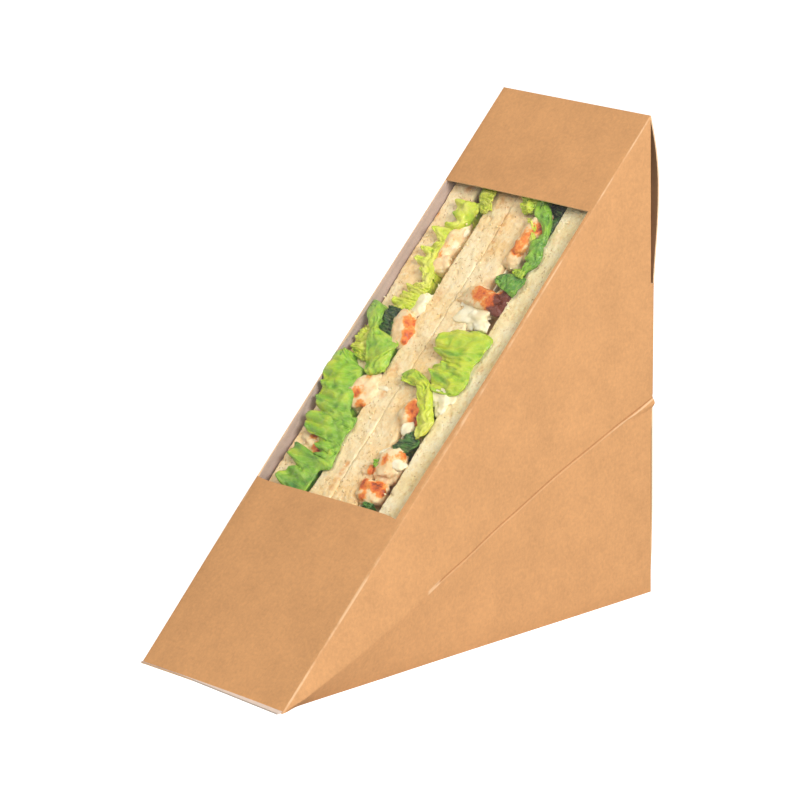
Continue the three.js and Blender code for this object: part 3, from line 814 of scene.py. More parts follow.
# Pores and the pressed-in holes are darkened with painted shade in their hollows.
pores = tree.nodes.new("ShaderNodeTexVoronoi")
pores.inputs["Scale"].default_value = 1150
tree.links.new(spot, pores.inputs["Vector"])
sparse = mottled(tree, spot, 210, 2, 0.5, 0.5, 0.62)
shaded_pores = product(tree, add_range(tree, pores.outputs["Distance"], 0.30, 0.12), sparse)
crumb = add_mix(tree, product(tree, shaded_pores, 0.7), crumb, srgb(206, 160, 96))
crumb = add_mix(tree, product(tree, read_mask(tree, "hole"), 0.4), crumb, srgb(216, 172, 108))
stained = product(tree, read_mask(tree, "stain"), mottled(tree, spot, 600, 3, 0.6, 0.35, 0.6, 0.2, 1.2))
crumb = add_mix(tree, stained, crumb, srgb(226, 150, 70))
baked = add_mix(tree, mottled(tree, spot, 60, 3, 0.6, 0.35, 0.65), srgb(196, 128, 62), srgb(226, 170, 104))
tree.links.new(add_mix(tree, read_mask(tree, "crust"), crumb, baked), shader.inputs["Base Color"])
add_relief(tree, shader, add_maths(tree, "SUBTRACT", fine, shaded_pores), 0.8, 0.3 * MM)
let_light_in(shader, 0.12, (0.002, 0.0014, 0.0007))


def side_wall(side, back, height):
    """How far out the card's inner face lies at a point of the side view"""
    share = max(0.02, back / DEPTH)
    rise = min(1.0, height / (share * HEIGHT))
    return abs(side_point(side, min(1.0, share), rise).x) - CARD


# Where the filling has stained the crumb: across and up on the window, radius, and strength
stain_spots = [
    (0.7, 138.6, 1.1, 0.6), (0.9, 136.4, 1.1, 0.7), (1.0, 134.0, 1.1, 0.6), (1.1, 131.6, 1.0, 0.5),
    (-0.8, 63.8, 1.0, 0.6), (-0.7, 61.6, 1.0, 0.7), (-0.8, 59.2, 1.0, 0.6), (-0.9, 56.8, 1.0, 0.5),
    (-22.4, 135.0, 1.2, 0.9), (-16.6, 144.4, 1.6, 0.6), (-4.7, 91.4, 1.8, 0.5), (-3.4, 84.4, 1.3, 0.6),
    (8.4, 119.4, 1.6, 0.4), (4.6, 139.0, 1.4, 0.3), (-5.4, 113.6, 1.6, 0.35), (8.6, 83.5, 1.6, 0.5),
    (7.6, 60.5, 1.6, 0.6), (8.8, 57.6, 1.8, 0.6), (9.2, 96.6, 1.6, 0.5), (2.8, 128.5, 1.2, 0.25),
    (-21.8, 62.6, 1.0, 0.6), (20.5, 135.6, 1.4, 0.3), (21.6, 97.0, 1.2, 0.35), (-3.2, 142.5, 2.6, 0.4),
]


LEAN = 0.2 * MM
SEAM_ROUNDING, EDGE_ROUNDING = 0.12 * MM, 0.5 * MM
OFF_THE_CARD = 0.25 * MM
HOLES, SMALL_SHARE = 110, 0.85


def set_masks(data, masks):
    for name, values in masks.items():
        data.attributes.new(name, "FLOAT", "POINT").data.foreach_set("value", values)


def make_slice(name, seed, warm, seam_side, spacing=0.42 * MM):
    low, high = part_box(name)
    left_edge = low.x - (LEAN if seam_side < 0 else 0)
    right_edge = high.x + (LEAN if seam_side > 0 else 0)
    width = right_edge - left_edge
    outline = wedge_outline(0, spacing, 1.2 * MM)
    columns = max(8, round(width / spacing))
    shift = Vector((seed * 7.3, seed * 3.1, seed * 5.7))
    points, crumbs = [], []
    for column in range(columns + 1):
        share = column / columns
        edge = min(share, 1 - share) * width
        rounding = SEAM_ROUNDING if seam_side * (share - 0.5) > 0 else EDGE_ROUNDING
        drop = rounding - math.sqrt(max(0, rounding ** 2 - max(0, rounding - edge) ** 2))
        for index, ((back, height), crumb_here) in enumerate(outline):
            (back_0, height_0), _ = outline[index - 1]
            (back_1, height_1), _ = outline[(index + 1) % len(outline)]
            out = Vector((0, height_1 - height_0, back_0 - back_1)).normalized()
            x = left_edge + share * width
            place = Vector((x, FRONT + back, height))
            broad = noise.noise(place * 90 + shift)
            lumps = noise.noise(place * 420 + shift)
            fuzz = noise.noise(place * 1500 + shift)
            torn = noise.noise(place * 900 + shift)
            lift = 0.4 * broad + 0.2 * lumps + 0.12 * torn + 0.1 * fuzz if crumb_here else 0.12 * broad
            place = under_film(place + out * (lift * MM - drop))
            wall = side_wall(1 if x > 0 else -1, back, height) - OFF_THE_CARD
            if abs(place.x) > wall:
                place.x = math.copysign(wall, place.x)
            points.append(place)
            crumbs.append(crumb_here)
    ring = len(outline)
    faces = []
    for column in range(columns):
        for index in range(ring):
            after = (index + 1) % ring
            faces.append((column * ring + index, column * ring + after,
                          (column + 1) * ring + after, (column + 1) * ring + index))
    for first, flip in ((0, True), (columns * ring, False)):
        rim = points[first:first + ring]
        centre = sum(rim, Vector()) / ring
        before = first
        for step in range(1, 8):
            start = len(points)
            for point in rim:
                inner = centre + (point - centre) * (1 - step / 8)
                inner.x = rim[0].x
                wall = side_wall(1 if inner.x > 0 else -1, inner.y - FRONT, inner.z) - OFF_THE_CARD
                inner.x = max(-wall, min(wall, inner.x))
                points.append(inner)
                crumbs.append(False)
            for index in range(ring):
                after = (index + 1) % ring
                face = (before + index, before + after, start + after, start + index)
                faces.append(face[::-1] if flip else face)
            before = start
        cap = tuple(before + index for index in range(ring))
        faces.append(cap[::-1] if flip else cap)
    holes = [0.0] * len(points)
    tree_of_points = kdtree.KDTree(len(points))
    for index, point in enumerate(points):
        tree_of_points.insert(point, index)
    tree_of_points.balance()
    chance = random.Random(seed)
    crumb_indices = [index for index, here in enumerate(crumbs) if here]
    for _ in range(HOLES):
        centre = points[chance.choice(crumb_indices)].copy()
        sizes = (0.4, 0.6) if chance.random() < SMALL_SHARE else (0.6, 0.9)
        radius = MM * chance.uniform(*sizes)
        for _, index, distance in tree_of_points.find_range(centre, radius):
            depth = 1 - (distance / radius) ** 2
            points[index] += INTO_SLOPE * depth * radius * 0.5
            holes[index] = max(holes[index], depth)
    data = new_mesh(name, points, faces)
    stains = [0.0] * len(points)
    for across, up, radius, strength in stain_spots:
        middle = seen_at(across, up, 2.5)
        reach = 1.4 * radius * MM
        for _, index, distance in tree_of_points.find_range(middle, reach):
            stains[index] = max(stains[index], strength * (1 - (distance / reach) ** 2))
    crusts = [0.0 if here else 1.0 for here in crumbs]
    set_masks(data, {"crust": crusts, "hole": holes, "warmth": [warm] * len(points), "stain": stains})
    smooth(data)
    data.materials.append(bread_material)
    piece = new_piece(name.replace("bread", "slice"), data)
    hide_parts(name)
    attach(piece, "pack")


slices = {"bread_outer_left": (0.9, 0), "bread_inner_left": (0.7, 1), "bread_inner_right": (0.9, -1),
          "bread_outer_right": (0.15, 0)}
for seed, (name, (warm, seam_side)) in enumerate(slices.items()):
    make_slice(name, seed + 1, warm, seam_side)


# Frilled lettuce. Each leaf comes up out of the filling, folds over at one edge and lies over the cut
# faces under the film. A blade is given by stations: its free edge and its fold as they show on the
# window from the camera, in millimetres across and up, and how deep the free edge, middle and fold lie.
def curve_through(points, count):
    """Points of a smooth curve through the given ones"""
    line = [points[0]] + list(points) + [points[-1]]
    made = []
    for step in range(count):
        place = step / (count - 1) * (len(points) - 1)
        index = min(int(place), len(points) - 2)
        share = place - index
        a, b, c, d = line[index:index + 4]
        made.append(0.5 * (2 * b + (c - a) * share + (2 * a - 5 * b + 4 * c - d) * share ** 2
                           + (3 * b - a - 3 * c + d) * share ** 3))
    return made


LEAF_ROWS, LEAF_COLUMNS = 84, 46
LEAF_THICKNESS = 0.3 * MM
FOLD_DEPTH, FOLD_WIDTH = 0.9, 0.25 * MM
UNDER_FILM, OFF_THE_SIDE = 0.3 * MM, 0.35 * MM
LEFT_GAP, RIGHT_GAP = -12.9, 10.2


def add_blade(parts, stations, gap, tones, frill=(9, 0.55), teeth=(11, 0.5), seed=1, root_down=9):
    """Adds the points, faces and colours of one blade of a leaf"""
    points, faces, along, across, tone_and_shade = parts
    lines = []
    for free, fold, (free_down, middle_down, fold_down) in stations:
        root = below_slope(gap * MM, fold[1] * MM, root_down * MM)
        fold_top = seen_at(*fold, fold_down)
        inward = Vector((FOLD_WIDTH * math.copysign(1, free[0] - fold[0]), 0, 0))
        fold_under = seen_at(*fold, fold_down + FOLD_DEPTH) + inward
        halfway = root.lerp(fold_under, 0.55)
        middle = seen_at((free[0] + fold[0]) / 2, (free[1] + fold[1]) / 2, middle_down)
        lines.append([root, halfway, fold_under, fold_top, middle, seen_at(*free, free_down)])
    columns = [curve_through([line[index] for line in lines], LEAF_ROWS) for index in range(6)]
    start = len(points)
    chance = random.Random(seed)
    heights = [chance.uniform(0.35, 1) for _ in range(60)]
    phase = chance.uniform(0, 6)
    for row in range(LEAF_ROWS):
        v = row / (LEAF_ROWS - 1)
        section = curve_through([column[row] for column in columns], LEAF_COLUMNS)
        outward = (section[-1] - section[LEAF_COLUMNS * 6 // 10]).normalized()
        wander = v * teeth[0] + 0.35 * noise.noise(Vector((v * 9, seed, 0)))
        tooth = 1 - abs(2 * (wander % 1) - 1)
        tooth = heights[int(wander) % 60] * (tooth ** 1.4 - 0.45)
        for column in range(LEAF_COLUMNS):
            t = column / (LEAF_COLUMNS - 1)
            free_share = max(0.0, (t - 0.66) / 0.34)
            point = section[column].copy()
            drift = 2 * noise.noise(Vector((v * 4, seed, 3)))
            wave = math.sin(2 * math.pi * frill[0] * v + phase + drift)
            crumple = noise.noise(Vector((v * 8, t * 8, seed))) * 0.5
            crumple += (0.16 - abs(noise.noise(Vector((v * 13, t * 11, seed + 5))))) * 1.0
            crumple += (0.12 - abs(noise.noise(point * 360 + Vector((seed, 0, 0))))) * 0.75
            visible = max(0.0, min(1.0, (t - 0.45) * 4))
            small_wave = math.sin(2 * math.pi * frill[0] * 2.3 * v + 2 * phase)
            ruffle = frill[1] * (1.3 * wave + 0.35 * small_wave) * free_share ** 1.6
            point -= INTO_SLOPE * (ruffle + crumple * visible) * MM
            point += outward * teeth[1] * (1.3 * tooth + 0.1 * small_wave) * free_share ** 2 * MM
            point = under_film(point, UNDER_FILM)
            wall = side_wall(1 if point.x > 0 else -1, point.y - FRONT, point.z) - OFF_THE_SIDE
            point.x = max(-wall, min(wall, point.x))
            points.append(point)
            along.append(v)
            across.append(t)
            # Painted light and shade: frill waves and crumple ridges and hollows are lightened and darkened
            # as light would fall on them, and the part at and under the fold is darkened as painted shade.
            shaded = 0.3 * wave * free_share ** 2 * frill[1] - 0.2 * crumple
            shaded += 0.3 * max(0.0, 0.62 - t) * (t > 0.3)
            # The free edge is paler and yellower, partly the leaf's own colour and partly a painted
            # highlight.
            tone_and_shade.append(tones[0] + (tones[1] - tones[0]) * v + 1.3 * tones[2] * free_share + shaded)
    for row in range(LEAF_ROWS - 1):
        for column in range(LEAF_COLUMNS - 1):
            corner = start + row * LEAF_COLUMNS + column
            faces.append((corner, corner + 1, corner + LEAF_COLUMNS + 1, corner + LEAF_COLUMNS))


def add_ramp(tree, value, stops):
    ramp = tree.nodes.new("ShaderNodeValToRGB")
    elements = ramp.color_ramp.elements
    for index, (stop, colour) in enumerate(stops):
        element = elements[index] if index < 2 else elements.new(stop)
        element.position = stop
        element.color = (*srgb(*colour), 1)
    tree.links.new(value, ramp.inputs["Fac"])
    return ramp.outputs["Color"]


leaf_material, tree, shader, spot = new_material("lettuce", 0.33)
leaf_place = tree.nodes.new("ShaderNodeCombineXYZ")
tree.links.new(product(tree, read_mask(tree, "leaf_along"), 16.0), leaf_place.inputs[0])
tree.links.new(product(tree, read_mask(tree, "leaf_across"), 7.0), leaf_place.inputs[1])
cells = tree.nodes.new("ShaderNodeTexVoronoi")
cells.feature = "DISTANCE_TO_EDGE"
cells.inputs["Scale"].default_value = 1.0
tree.links.new(leaf_place.outputs[0], cells.inputs["Vector"])
vein = add_range(tree, cells.outputs["Distance"], 0.09, 0.0)
uneven = mottled(tree, spot, 260, 4, 0.6, 0.3, 0.7, -0.1, 0.1)
# The tone carries each blade's own colour together with the painted light and shade set in add_blade.
tone_and_shade = add_maths(tree, "ADD", read_mask(tree, "leaf_tone_and_shade"), uneven)
greens = add_ramp(tree, tone_and_shade, [
    (0.0, (236, 232, 120)), (0.25, (202, 216, 48)), (0.5, (140, 190, 44)), (0.75, (72, 134, 36)),
    (1.0, (22, 54, 26)),
])
veined = add_mix(tree, product(tree, vein, 0.16), greens, srgb(224, 232, 140))
tree.links.new(veined, shader.inputs["Base Color"])
leaf_grain = add_maths(tree, "ADD", add_noise(tree, spot, 420, 4, 0.6), product(tree, vein, -0.15))
add_relief(tree, shader, leaf_grain, 0.9, 0.4 * MM)
let_light_in(shader, 0.12, (0.0012, 0.002, 0.0004))


def make_leaf(name, blades):
    parts = ([], [], [], [], [])
    for blade in blades:
        add_blade(parts, **blade)
    points, faces, along, across, tone_and_shade = parts
    data = new_mesh(name, points, faces)
    set_masks(data, {"leaf_along": along, "leaf_across": across, "leaf_tone_and_shade": tone_and_shade})
    data.materials.append(leaf_material)
    piece = new_piece(name.replace("lettuce", "leaf"), data)
    thickness = piece.modifiers.new("leaf_thickness", "SOLIDIFY")
    thickness.thickness = LEAF_THICKNESS
    thickness.offset = 0
    apply_modifiers(piece)
    smooth(piece.data)
    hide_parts(name)
    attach(piece, "pack")


make_leaf("lettuce_left_1", [
    dict(gap=LEFT_GAP, tones=(0.48, 0.6, -0.08), seed=3, stations=[
        ((-19.6, 75.5), (-6.9, 76), (1.4, 1.2, 1.9)),
        ((-22.6, 73.2), (-6.7, 73), (1.0, 0.9, 1.7)),
        ((-22.1, 71.2), (-7.1, 70.8), (0.9, 0.9, 1.7)),
        ((-19.6, 69.1), (-6.8, 68.7), (1.1, 1.2, 1.8)),
        ((-15.4, 68.7), (-6.4, 67.5), (1.6, 1.5, 1.8)),
        ((-13.8, 66.0), (-6.0, 66.2), (1.3, 1.4, 1.8)),
        ((-10.5, 65.0), (-5.8, 64.8), (1.6, 1.5, 1.8)),
        ((-13.3, 63.9), (-5.6, 63.2), (1.5, 1.3, 1.8)),
        ((-20.2, 65.4), (-5.5, 61.4), (1.1, 1.1, 1.8)),
        ((-21.9, 62.5), (-8.3, 60.3), (1.1, 1.3, 1.9)),
        ((-18.8, 61.0), (-8.5, 58.2), (1.5, 1.4, 1.9)),
        ((-16.7, 59.1), (-8.5, 56.2), (1.7, 1.4, 1.9)),
        ((-21.0, 56.7), (-8.7, 54.5), (1.3, 1.3, 1.9)),
        ((-17.4, 53.6), (-9.0, 53.0), (1.5, 1.4, 1.9)),
    ]),
])
make_leaf("lettuce_left_2", [
    dict(gap=LEFT_GAP, tones=(0.45, 0.54, -0.1), frill=(5, 0.4), teeth=(7, 0.4), seed=5, stations=[
        ((-25.8, 92.4), (-23.9, 93.0), (-0.6, -0.6, -0.4)),
        ((-27.0, 90.4), (-18.0, 90.0), (-0.9, -0.7, 0.9)),
        ((-26.9, 86.8), (-14.0, 88.5), (-0.8, -0.6, 1.4)),
        ((-25.5, 83.8), (-14.0, 85.3), (-0.2, -0.3, 1.3)),
        ((-23.8, 81.2), (-12.2, 81.2), (0.4, 0.0, 1.3)),
        ((-23.3, 78.0), (-10.6, 77.6), (0.8, 0.4, 1.4)),
        ((-19.8, 75.0), (-7.0, 74.6), (1.1, 0.8, 1.5)),
        ((-20.5, 73.4), (-7.2, 72.6), (1.3, 1.2, 1.6)),
    ]),
])
make_leaf("lettuce_left_3", [
    dict(gap=LEFT_GAP, tones=(0.5, 0.42, -0.05), frill=(3, 0.2), teeth=(5, 0.15), seed=7, stations=[
        ((-25.8, 105.6), (-25.3, 106.6), (0.8, 0.8, 0.9)),
        ((-23.3, 102.9), (-22.9, 107.5), (0.5, 0.2, 0.6)),
        ((-21.0, 100.5), (-19.4, 105.4), (0.6, 0.0, 0.7)),
        ((-19.6, 98.2), (-17.8, 100.8), (0.7, 0.1, 0.9)),
        ((-17.6, 95.2), (-13.1, 99.3), (0.9, 0.1, 1.2)),
        ((-15.5, 91.4), (-8.5, 97.8), (1.0, 0.2, 1.4)),
        ((-13.9, 89.4), (-8.7, 95.8), (1.0, 0.3, 1.4)),
        ((-12.2, 88.0), (-7.4, 92.0), (1.2, 0.5, 1.5)),
        ((-10.4, 88.2), (-7.3, 89.7), (1.5, 1.2, 1.7)),
    ]),
    dict(gap=LEFT_GAP, tones=(0.12, 0.3, 0.0), frill=(3, 0.3), teeth=(4, 0.3), seed=8, stations=[
        ((-22.6, 100.5), (-18.5, 101.0), (1.6, 1.5, 2.2)),
        ((-22.9, 96.5), (-16.5, 97.5), (1.5, 1.3, 2.2)),
        ((-22.0, 93.6), (-15.5, 93.4), (1.6, 1.4, 2.2)),
        ((-18.0, 91.3), (-15.0, 91.0), (2.0, 1.8, 2.3)),
    ]),
    dict(gap=LEFT_GAP, tones=(1.0, 0.9, 0.0), frill=(2, 0.2), teeth=(3, 0.1), seed=9, stations=[
        ((-18.9, 107.4), (-11.8, 107.6), (1.2, 1.6, 2.2)),
        ((-18.2, 103.6), (-11.8, 103.5), (1.9, 2.2, 2.6)),
        ((-17.0, 100.6), (-11.4, 99.0), (2.0, 2.2, 2.6)),
    ]),
])
make_leaf("lettuce_left_4", [
    dict(gap=LEFT_GAP, tones=(0.16, 0.32, -0.16), frill=(5, 0.5), teeth=(5, 0.8), seed=11, stations=[
        ((-14.3, 118.0), (-11.2, 118.8), (1.6, 1.6, 2.2)),
        ((-13.3, 115.3), (-9.4, 115.3), (1.3, 1.3, 2.0)),
        ((-16.7, 114.4), (-9.6, 113.6), (1.1, 1.2, 2.0)),
        ((-16.2, 112.0), (-10.2, 111.9), (1.4, 1.3, 2.1)),
        ((-18.8, 109.8), (-10.8, 109.4), (1.2, 1.3, 2.3)),
        ((-17.1, 107.4), (-11.6, 107.3), (1.5, 1.5, 2.4)),
    ]),
])
make_leaf("lettuce_left_5", [
    dict(gap=LEFT_GAP, tones=(0.3, 0.2, -0.14), frill=(8, 0.6), teeth=(9, 0.5), seed=13, stations=[
        ((-17.1, 140.2), (-10.0, 140.5), (1.6, 1.5, 2.3)),
        ((-18.2, 139.2), (-9.1, 138.2), (1.2, 1.2, 2.0)),
        ((-16.3, 136.1), (-9.4, 135.7), (1.3, 1.5, 3.0)),
        ((-15.3, 133.2), (-10.0, 132.8), (1.4, 1.8, 3.8)),
        ((-20.1, 131.6), (-10.8, 130.6), (1.0, 1.7, 3.8)),
        ((-17.5, 128.6), (-12.1, 129.0), (1.3, 1.7, 3.4)),
        ((-15.7, 126.8), (-13.2, 126.9), (1.5, 1.7, 2.6)),
        ((-20.5, 125.3), (-13.8, 124.8), (1.0, 1.5, 2.4)),
        ((-17.9, 123.4), (-13.3, 123.2), (1.4, 1.5, 2.4)),
        ((-19.8, 121.7), (-12.5, 121.1), (1.1, 1.4, 2.4)),
        ((-16.7, 119.7), (-11.3, 119.4), (1.4, 1.5, 2.3)),
        ((-13.4, 117.1), (-9.6, 117.3), (1.6, 1.6, 2.2)),
    ]),
    dict(gap=LEFT_GAP + 2, tones=(0.3, 0.3, -0.1), frill=(2, 0.2), teeth=(3, 0.2), seed=14, stations=[
        ((-7.5, 146.0), (-11.7, 146.0), (1.4, 1.4, 1.8)),
        ((-6.9, 142.7), (-11.4, 142.7), (1.1, 1.0, 1.6)),
        ((-6.2, 139.8), (-10.0, 140.6), (1.1, 1.0, 1.8)),
        ((-5.8, 138.0), (-7.9, 138.0), (1.5, 1.4, 2.0)),
    ]),
])
make_leaf("lettuce_right_1", [
    dict(gap=RIGHT_GAP, tones=(0.8, 0.9, 0.04), frill=(3, 0.25), teeth=(3, 0.3), seed=21, stations=[
        ((13.3, 77.0), (15.4, 75.3), (2.0, 1.9, 2.4)),
        ((11.2, 74.5), (16.9, 74.7), (1.6, 1.7, 2.4)),
        ((10.0, 71.6), (16.9, 73.2), (1.5, 1.9, 2.5)),
        ((11.7, 70.3), (15.0, 71.2), (1.8, 2.0, 2.6)),
        ((13.4, 69.1), (14.2, 69.9), (2.2, 2.1, 2.6)),
    ]),
    dict(gap=RIGHT_GAP - 1, tones=(0.55, 0.6, 0.0), frill=(1, 0.1), teeth=(2, 0.2), seed=22, stations=[
        ((7.1, 67.2), (9.6, 68.0), (1.5, 1.5, 2.0)),
        ((7.3, 66.2), (9.4, 65.7), (1.6, 1.5, 2.0)),
        ((8.1, 65.3), (9.2, 65.2), (1.9, 1.7, 2.1)),
    ]),
    dict(gap=RIGHT_GAP + 1, tones=(0.8, 0.8, 0.0), frill=(1, 0.1), teeth=(2, 0.2), seed=23, stations=[
        ((11.7, 56.0), (14.8, 56.0), (1.8, 1.7, 2.2)),
        ((11.9, 54.6), (14.5, 54.4), (1.9, 1.8, 2.3)),
        ((12.1, 53.4), (14.2, 53.2), (2.0, 1.9, 2.4)),
    ]),
])
make_leaf("lettuce_right_2", [
    dict(gap=RIGHT_GAP, tones=(0.42, 0.16, -0.04), frill=(3, 0.2), teeth=(6, 0.15), seed=25, stations=[
        ((-0.4, 89.5), (-0.2, 90.2), (1.6, 1.5, 1.8)),
        ((0.4, 88.6), (2.0, 92.2), (1.3, 0.9, 1.4)),
        ((3.8, 88.6), (5.8, 91.5), (1.1, 0.6, 1.3)),
        ((6.3, 88.0), (9.0, 90.1), (1.0, 0.5, 1.3)),
        ((8.1, 85.3), (11.3, 88.2), (1.0, 0.5, 1.4)),
        ((10.2, 83.2), (13.8, 85.1), (1.0, 0.5, 1.4)),
        ((12.1, 80.3), (16.3, 82.0), (1.1, 0.6, 1.4)),
        ((13.5, 77.4), (17.7, 80.1), (1.2, 0.8, 1.5)),
        ((15.6, 75.1), (16.9, 76.6), (1.6, 1.3, 1.8)),
    ]),
])
make_leaf("lettuce_right_3", [
    dict(gap=RIGHT_GAP, tones=(0.32, 0.42, -0.1), frill=(5, 0.6), teeth=(10, 0.7), seed=27, stations=[
        ((6.3, 105.4), (14.2, 106.5), (1.3, 1.2, 1.9)),
        ((3.4, 104.0), (19.4, 105.4), (0.9, 0.6, 1.8)),
        ((3.7, 100.3), (19.6, 102.0), (0.6, 0.3, 1.6)),
        ((4.2, 99.0), (19.2, 99.5), (0.7, 0.3, 1.6)),
        ((7.5, 97.6), (19.0, 97.4), (0.9, 0.5, 1.6)),
        ((9.8, 96.0), (19.2, 95.3), (1.2, 0.6, 1.6)),
        ((6.2, 94.5), (19.8, 93.7), (0.8, 0.6, 1.6)),
        ((8.1, 92.2), (20.2, 91.8), (1.0, 0.7, 1.6)),
        ((9.4, 89.9), (19.2, 89.1), (1.2, 0.9, 1.7)),
        ((11.7, 88.2), (17.1, 88.2), (1.5, 1.3, 1.9)),
    ]),
])
make_leaf("lettuce_right_4", [
    dict(gap=RIGHT_GAP + 1, tones=(0.7, 0.76, -0.08), frill=(2, 0.2), teeth=(3, 0.2), seed=29, stations=[
        ((9.5, 121.2), (9.8, 121.8), (1.5, 1.4, 1.7)),
        ((11.7, 119.6), (12.1, 123.1), (1.1, 0.8, 1.5)),
        ((15.0, 118.6), (16.3, 123.4), (1.2, 0.7, 1.6)),
        ((17.7, 117.7), (19.0, 123.0), (1.5, 1.2, 1.9)),
    ]),
    dict(gap=RIGHT_GAP + 1, tones=(0.4, 0.5, -0.05), frill=(1, 0.2), teeth=(2, 0.2), seed=30, stations=[
        ((13.3, 124.1), (13.6, 124.8), (1.6, 1.5, 1.8)),
        ((15.4, 123.2), (16.3, 125.6), (1.3, 1.1, 1.7)),
        ((17.5, 123.0), (17.2, 126.0), (1.5, 1.4, 1.9)),
    ]),
])
make_leaf("lettuce_right_5", [
    dict(gap=RIGHT_GAP + 2, tones=(0.58, 0.72, -0.1), frill=(3, 0.15), teeth=(6, 0.2), seed=33, stations=[
        ((7.7, 146.0), (10.5, 147.0), (1.4, 1.3, 1.8)),
        ((7.8, 143.4), (11.6, 144.6), (1.3, 1.0, 1.7)),
        ((10.0, 140.2), (14.3, 141.8), (1.2, 0.8, 1.7)),
        ((13.7, 138.1), (16.8, 138.2), (1.2, 0.8, 1.8)),
        ((14.8, 134.6), (17.9, 135.2), (1.2, 0.8, 1.8)),
        ((13.4, 132.9), (18.3, 132.2), (1.1, 0.8, 1.8)),
        ((14.5, 129.0), (19.6, 129.8), (1.2, 0.8, 1.9)),
        ((15.7, 126.9), (19.6, 127.3), (1.3, 1.1, 2.0)),
        ((17.1, 123.8), (17.8, 125.2), (1.6, 1.6, 2.1)),
    ]),
    dict(gap=RIGHT_GAP, tones=(0.26, 0.26, -0.1), frill=(1, 0.1), teeth=(3, 0.15), seed=34, stations=[
        ((7.6, 139.4), (9.8, 139.8), (1.5, 1.4, 1.8)),
        ((9.5, 137.4), (11.2, 138.7), (1.3, 1.2, 1.7)),
        ((12.0, 135.2), (13.0, 136.2), (1.3, 1.2, 1.7)),
        ((13.3, 132.8), (14.6, 133.6), (1.5, 1.4, 1.8)),
    ]),
    dict(gap=RIGHT_GAP - 1, tones=(0.22, 0.3, 0.0), frill=(2, 0.15), teeth=(3, 0.2), seed=35, stations=[
        ((1.2, 146.6), (7.0, 146.6), (1.3, 1.1, 1.6)),
        ((3.0, 142.4), (8.1, 143.0), (1.0, 0.7, 1.5)),
        ((5.4, 140.4), (8.4, 141.1), (1.4, 1.3, 1.8)),
    ]),
    # A deep leaf behind the pale tips at the top, near-black green: partly a dark leaf, partly painted shade
    # behind the tips.
    dict(gap=RIGHT_GAP + 3, tones=(1.0, 0.95, 0.0), frill=(1, 0.1), teeth=(2, 0.1), seed=36, root_down=12,
         stations=[
        ((7.0, 147.0), (17.6, 147.5), (3.2, 3.4, 3.6)),
        ((9.5, 142.0), (17.8, 142.5), (3.2, 3.5, 3.8)),
        ((13.5, 137.0), (18.4, 136.0), (3.0, 3.2, 3.6)),
        ((15.5, 131.0), (19.2, 128.0), (2.8, 3.0, 3.2)),
    ]),
])


# Strips of spiced chicken between the leaves, cut across so that the pale flesh shows with an orange
# and brown skin. Each is placed as it shows on the window, and browned round the spots listed.
chicken_material, tree, shader, spot = new_material("spiced_chicken", 0.45)
flesh_tone = mottled(tree, spot, 330, 4, 0.6, 0.35, 0.65)
flesh = add_mix(tree, flesh_tone, srgb(236, 196, 140), srgb(255, 232, 188))
uneven = mottled(tree, spot, 700, 4, 0.65, 0.3, 0.7, -0.28, 0.28)
amount = add_maths(tree, "ADD", read_mask(tree, "browned"), uneven)
skin = add_ramp(tree, amount, [
    (0.1, (244, 196, 130)), (0.35, (242, 150, 58)), (0.62, (220, 100, 28)), (0.95, (104, 40, 16)),
])
meat = add_mix(tree, add_range(tree, amount, 0.08, 0.3), flesh, skin)
tree.links.new(meat, shader.inputs["Base Color"])
add_relief(tree, shader, add_noise(tree, spot, 900, 4, 0.6), 0.6, 0.3 * MM)
let_light_in(shader, 0.15, (0.002, 0.001, 0.0006))


def add_lump(builder, centre, size, turn, squareness, rough, seed):
    """Adds a rough lump, sized across, up and into the slope, and turned in the slope's plane"""
    made = bmesh.ops.create_icosphere(builder, subdivisions=4, radius=1.0)
    cosine, sine = math.cos(math.radians(turn)), math.sin(math.radians(turn))
    middle = seen_at(*centre)
    shift = Vector((seed * 4.1, seed * 9.7, seed * 1.9))
    for vertex in made["verts"]:
        a, b, c = (math.copysign(abs(value) ** squareness, value) for value in vertex.co)
        away = vertex.co.normalized()
        swell = 1
        for share, fineness in ((1, 1.3), (0.45, 3.4), (0.18, 9)):
            swell += share * rough * noise.noise(away * fineness + shift)
        a, b, c = a * size[0] / 2 * swell, b * size[1] / 2 * swell, c * size[2] / 2 * swell
        offset = Vector((a * cosine - b * sine, 0, 0)) + UP_SLOPE * (a * sine + b * cosine) - INTO_SLOPE * c
        vertex.co = under_film(middle + offset * MM)


LONGEST_EDGE = 2.5 * MM


def add_strip_behind(builder, name, sink, rough, seed):
    """Adds the piece's plain solid, roughened and sunk, which fills the sandwich behind the window"""
    solid = bmesh.new()
    solid.from_mesh(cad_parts[name].data)
    bmesh.ops.remove_doubles(solid, verts=solid.verts, dist=0.01 * MM)
    bmesh.ops.triangulate(solid, faces=solid.faces)
    for _ in range(4):
        long_edges = [edge for edge in solid.edges if edge.calc_length() > LONGEST_EDGE]
        bmesh.ops.bisect_edges(solid, edges=long_edges, cuts=1)
        bmesh.ops.triangulate(solid, faces=solid.faces)
    solid.normal_update()
    shift = Vector((seed, 0, 0))
    moves = [vertex.normal * rough * noise.noise(vertex.co * 300 + shift) * MM for vertex in solid.verts]
    for vertex, move in zip(solid.verts, moves):
        vertex.co += move + INTO_SLOPE * sink * MM
    sunk = bpy.data.meshes.new("sunk_strip")
    solid.to_mesh(sunk)
    solid.free()
    builder.from_mesh(sunk)
    bpy.data.meshes.remove(sunk)


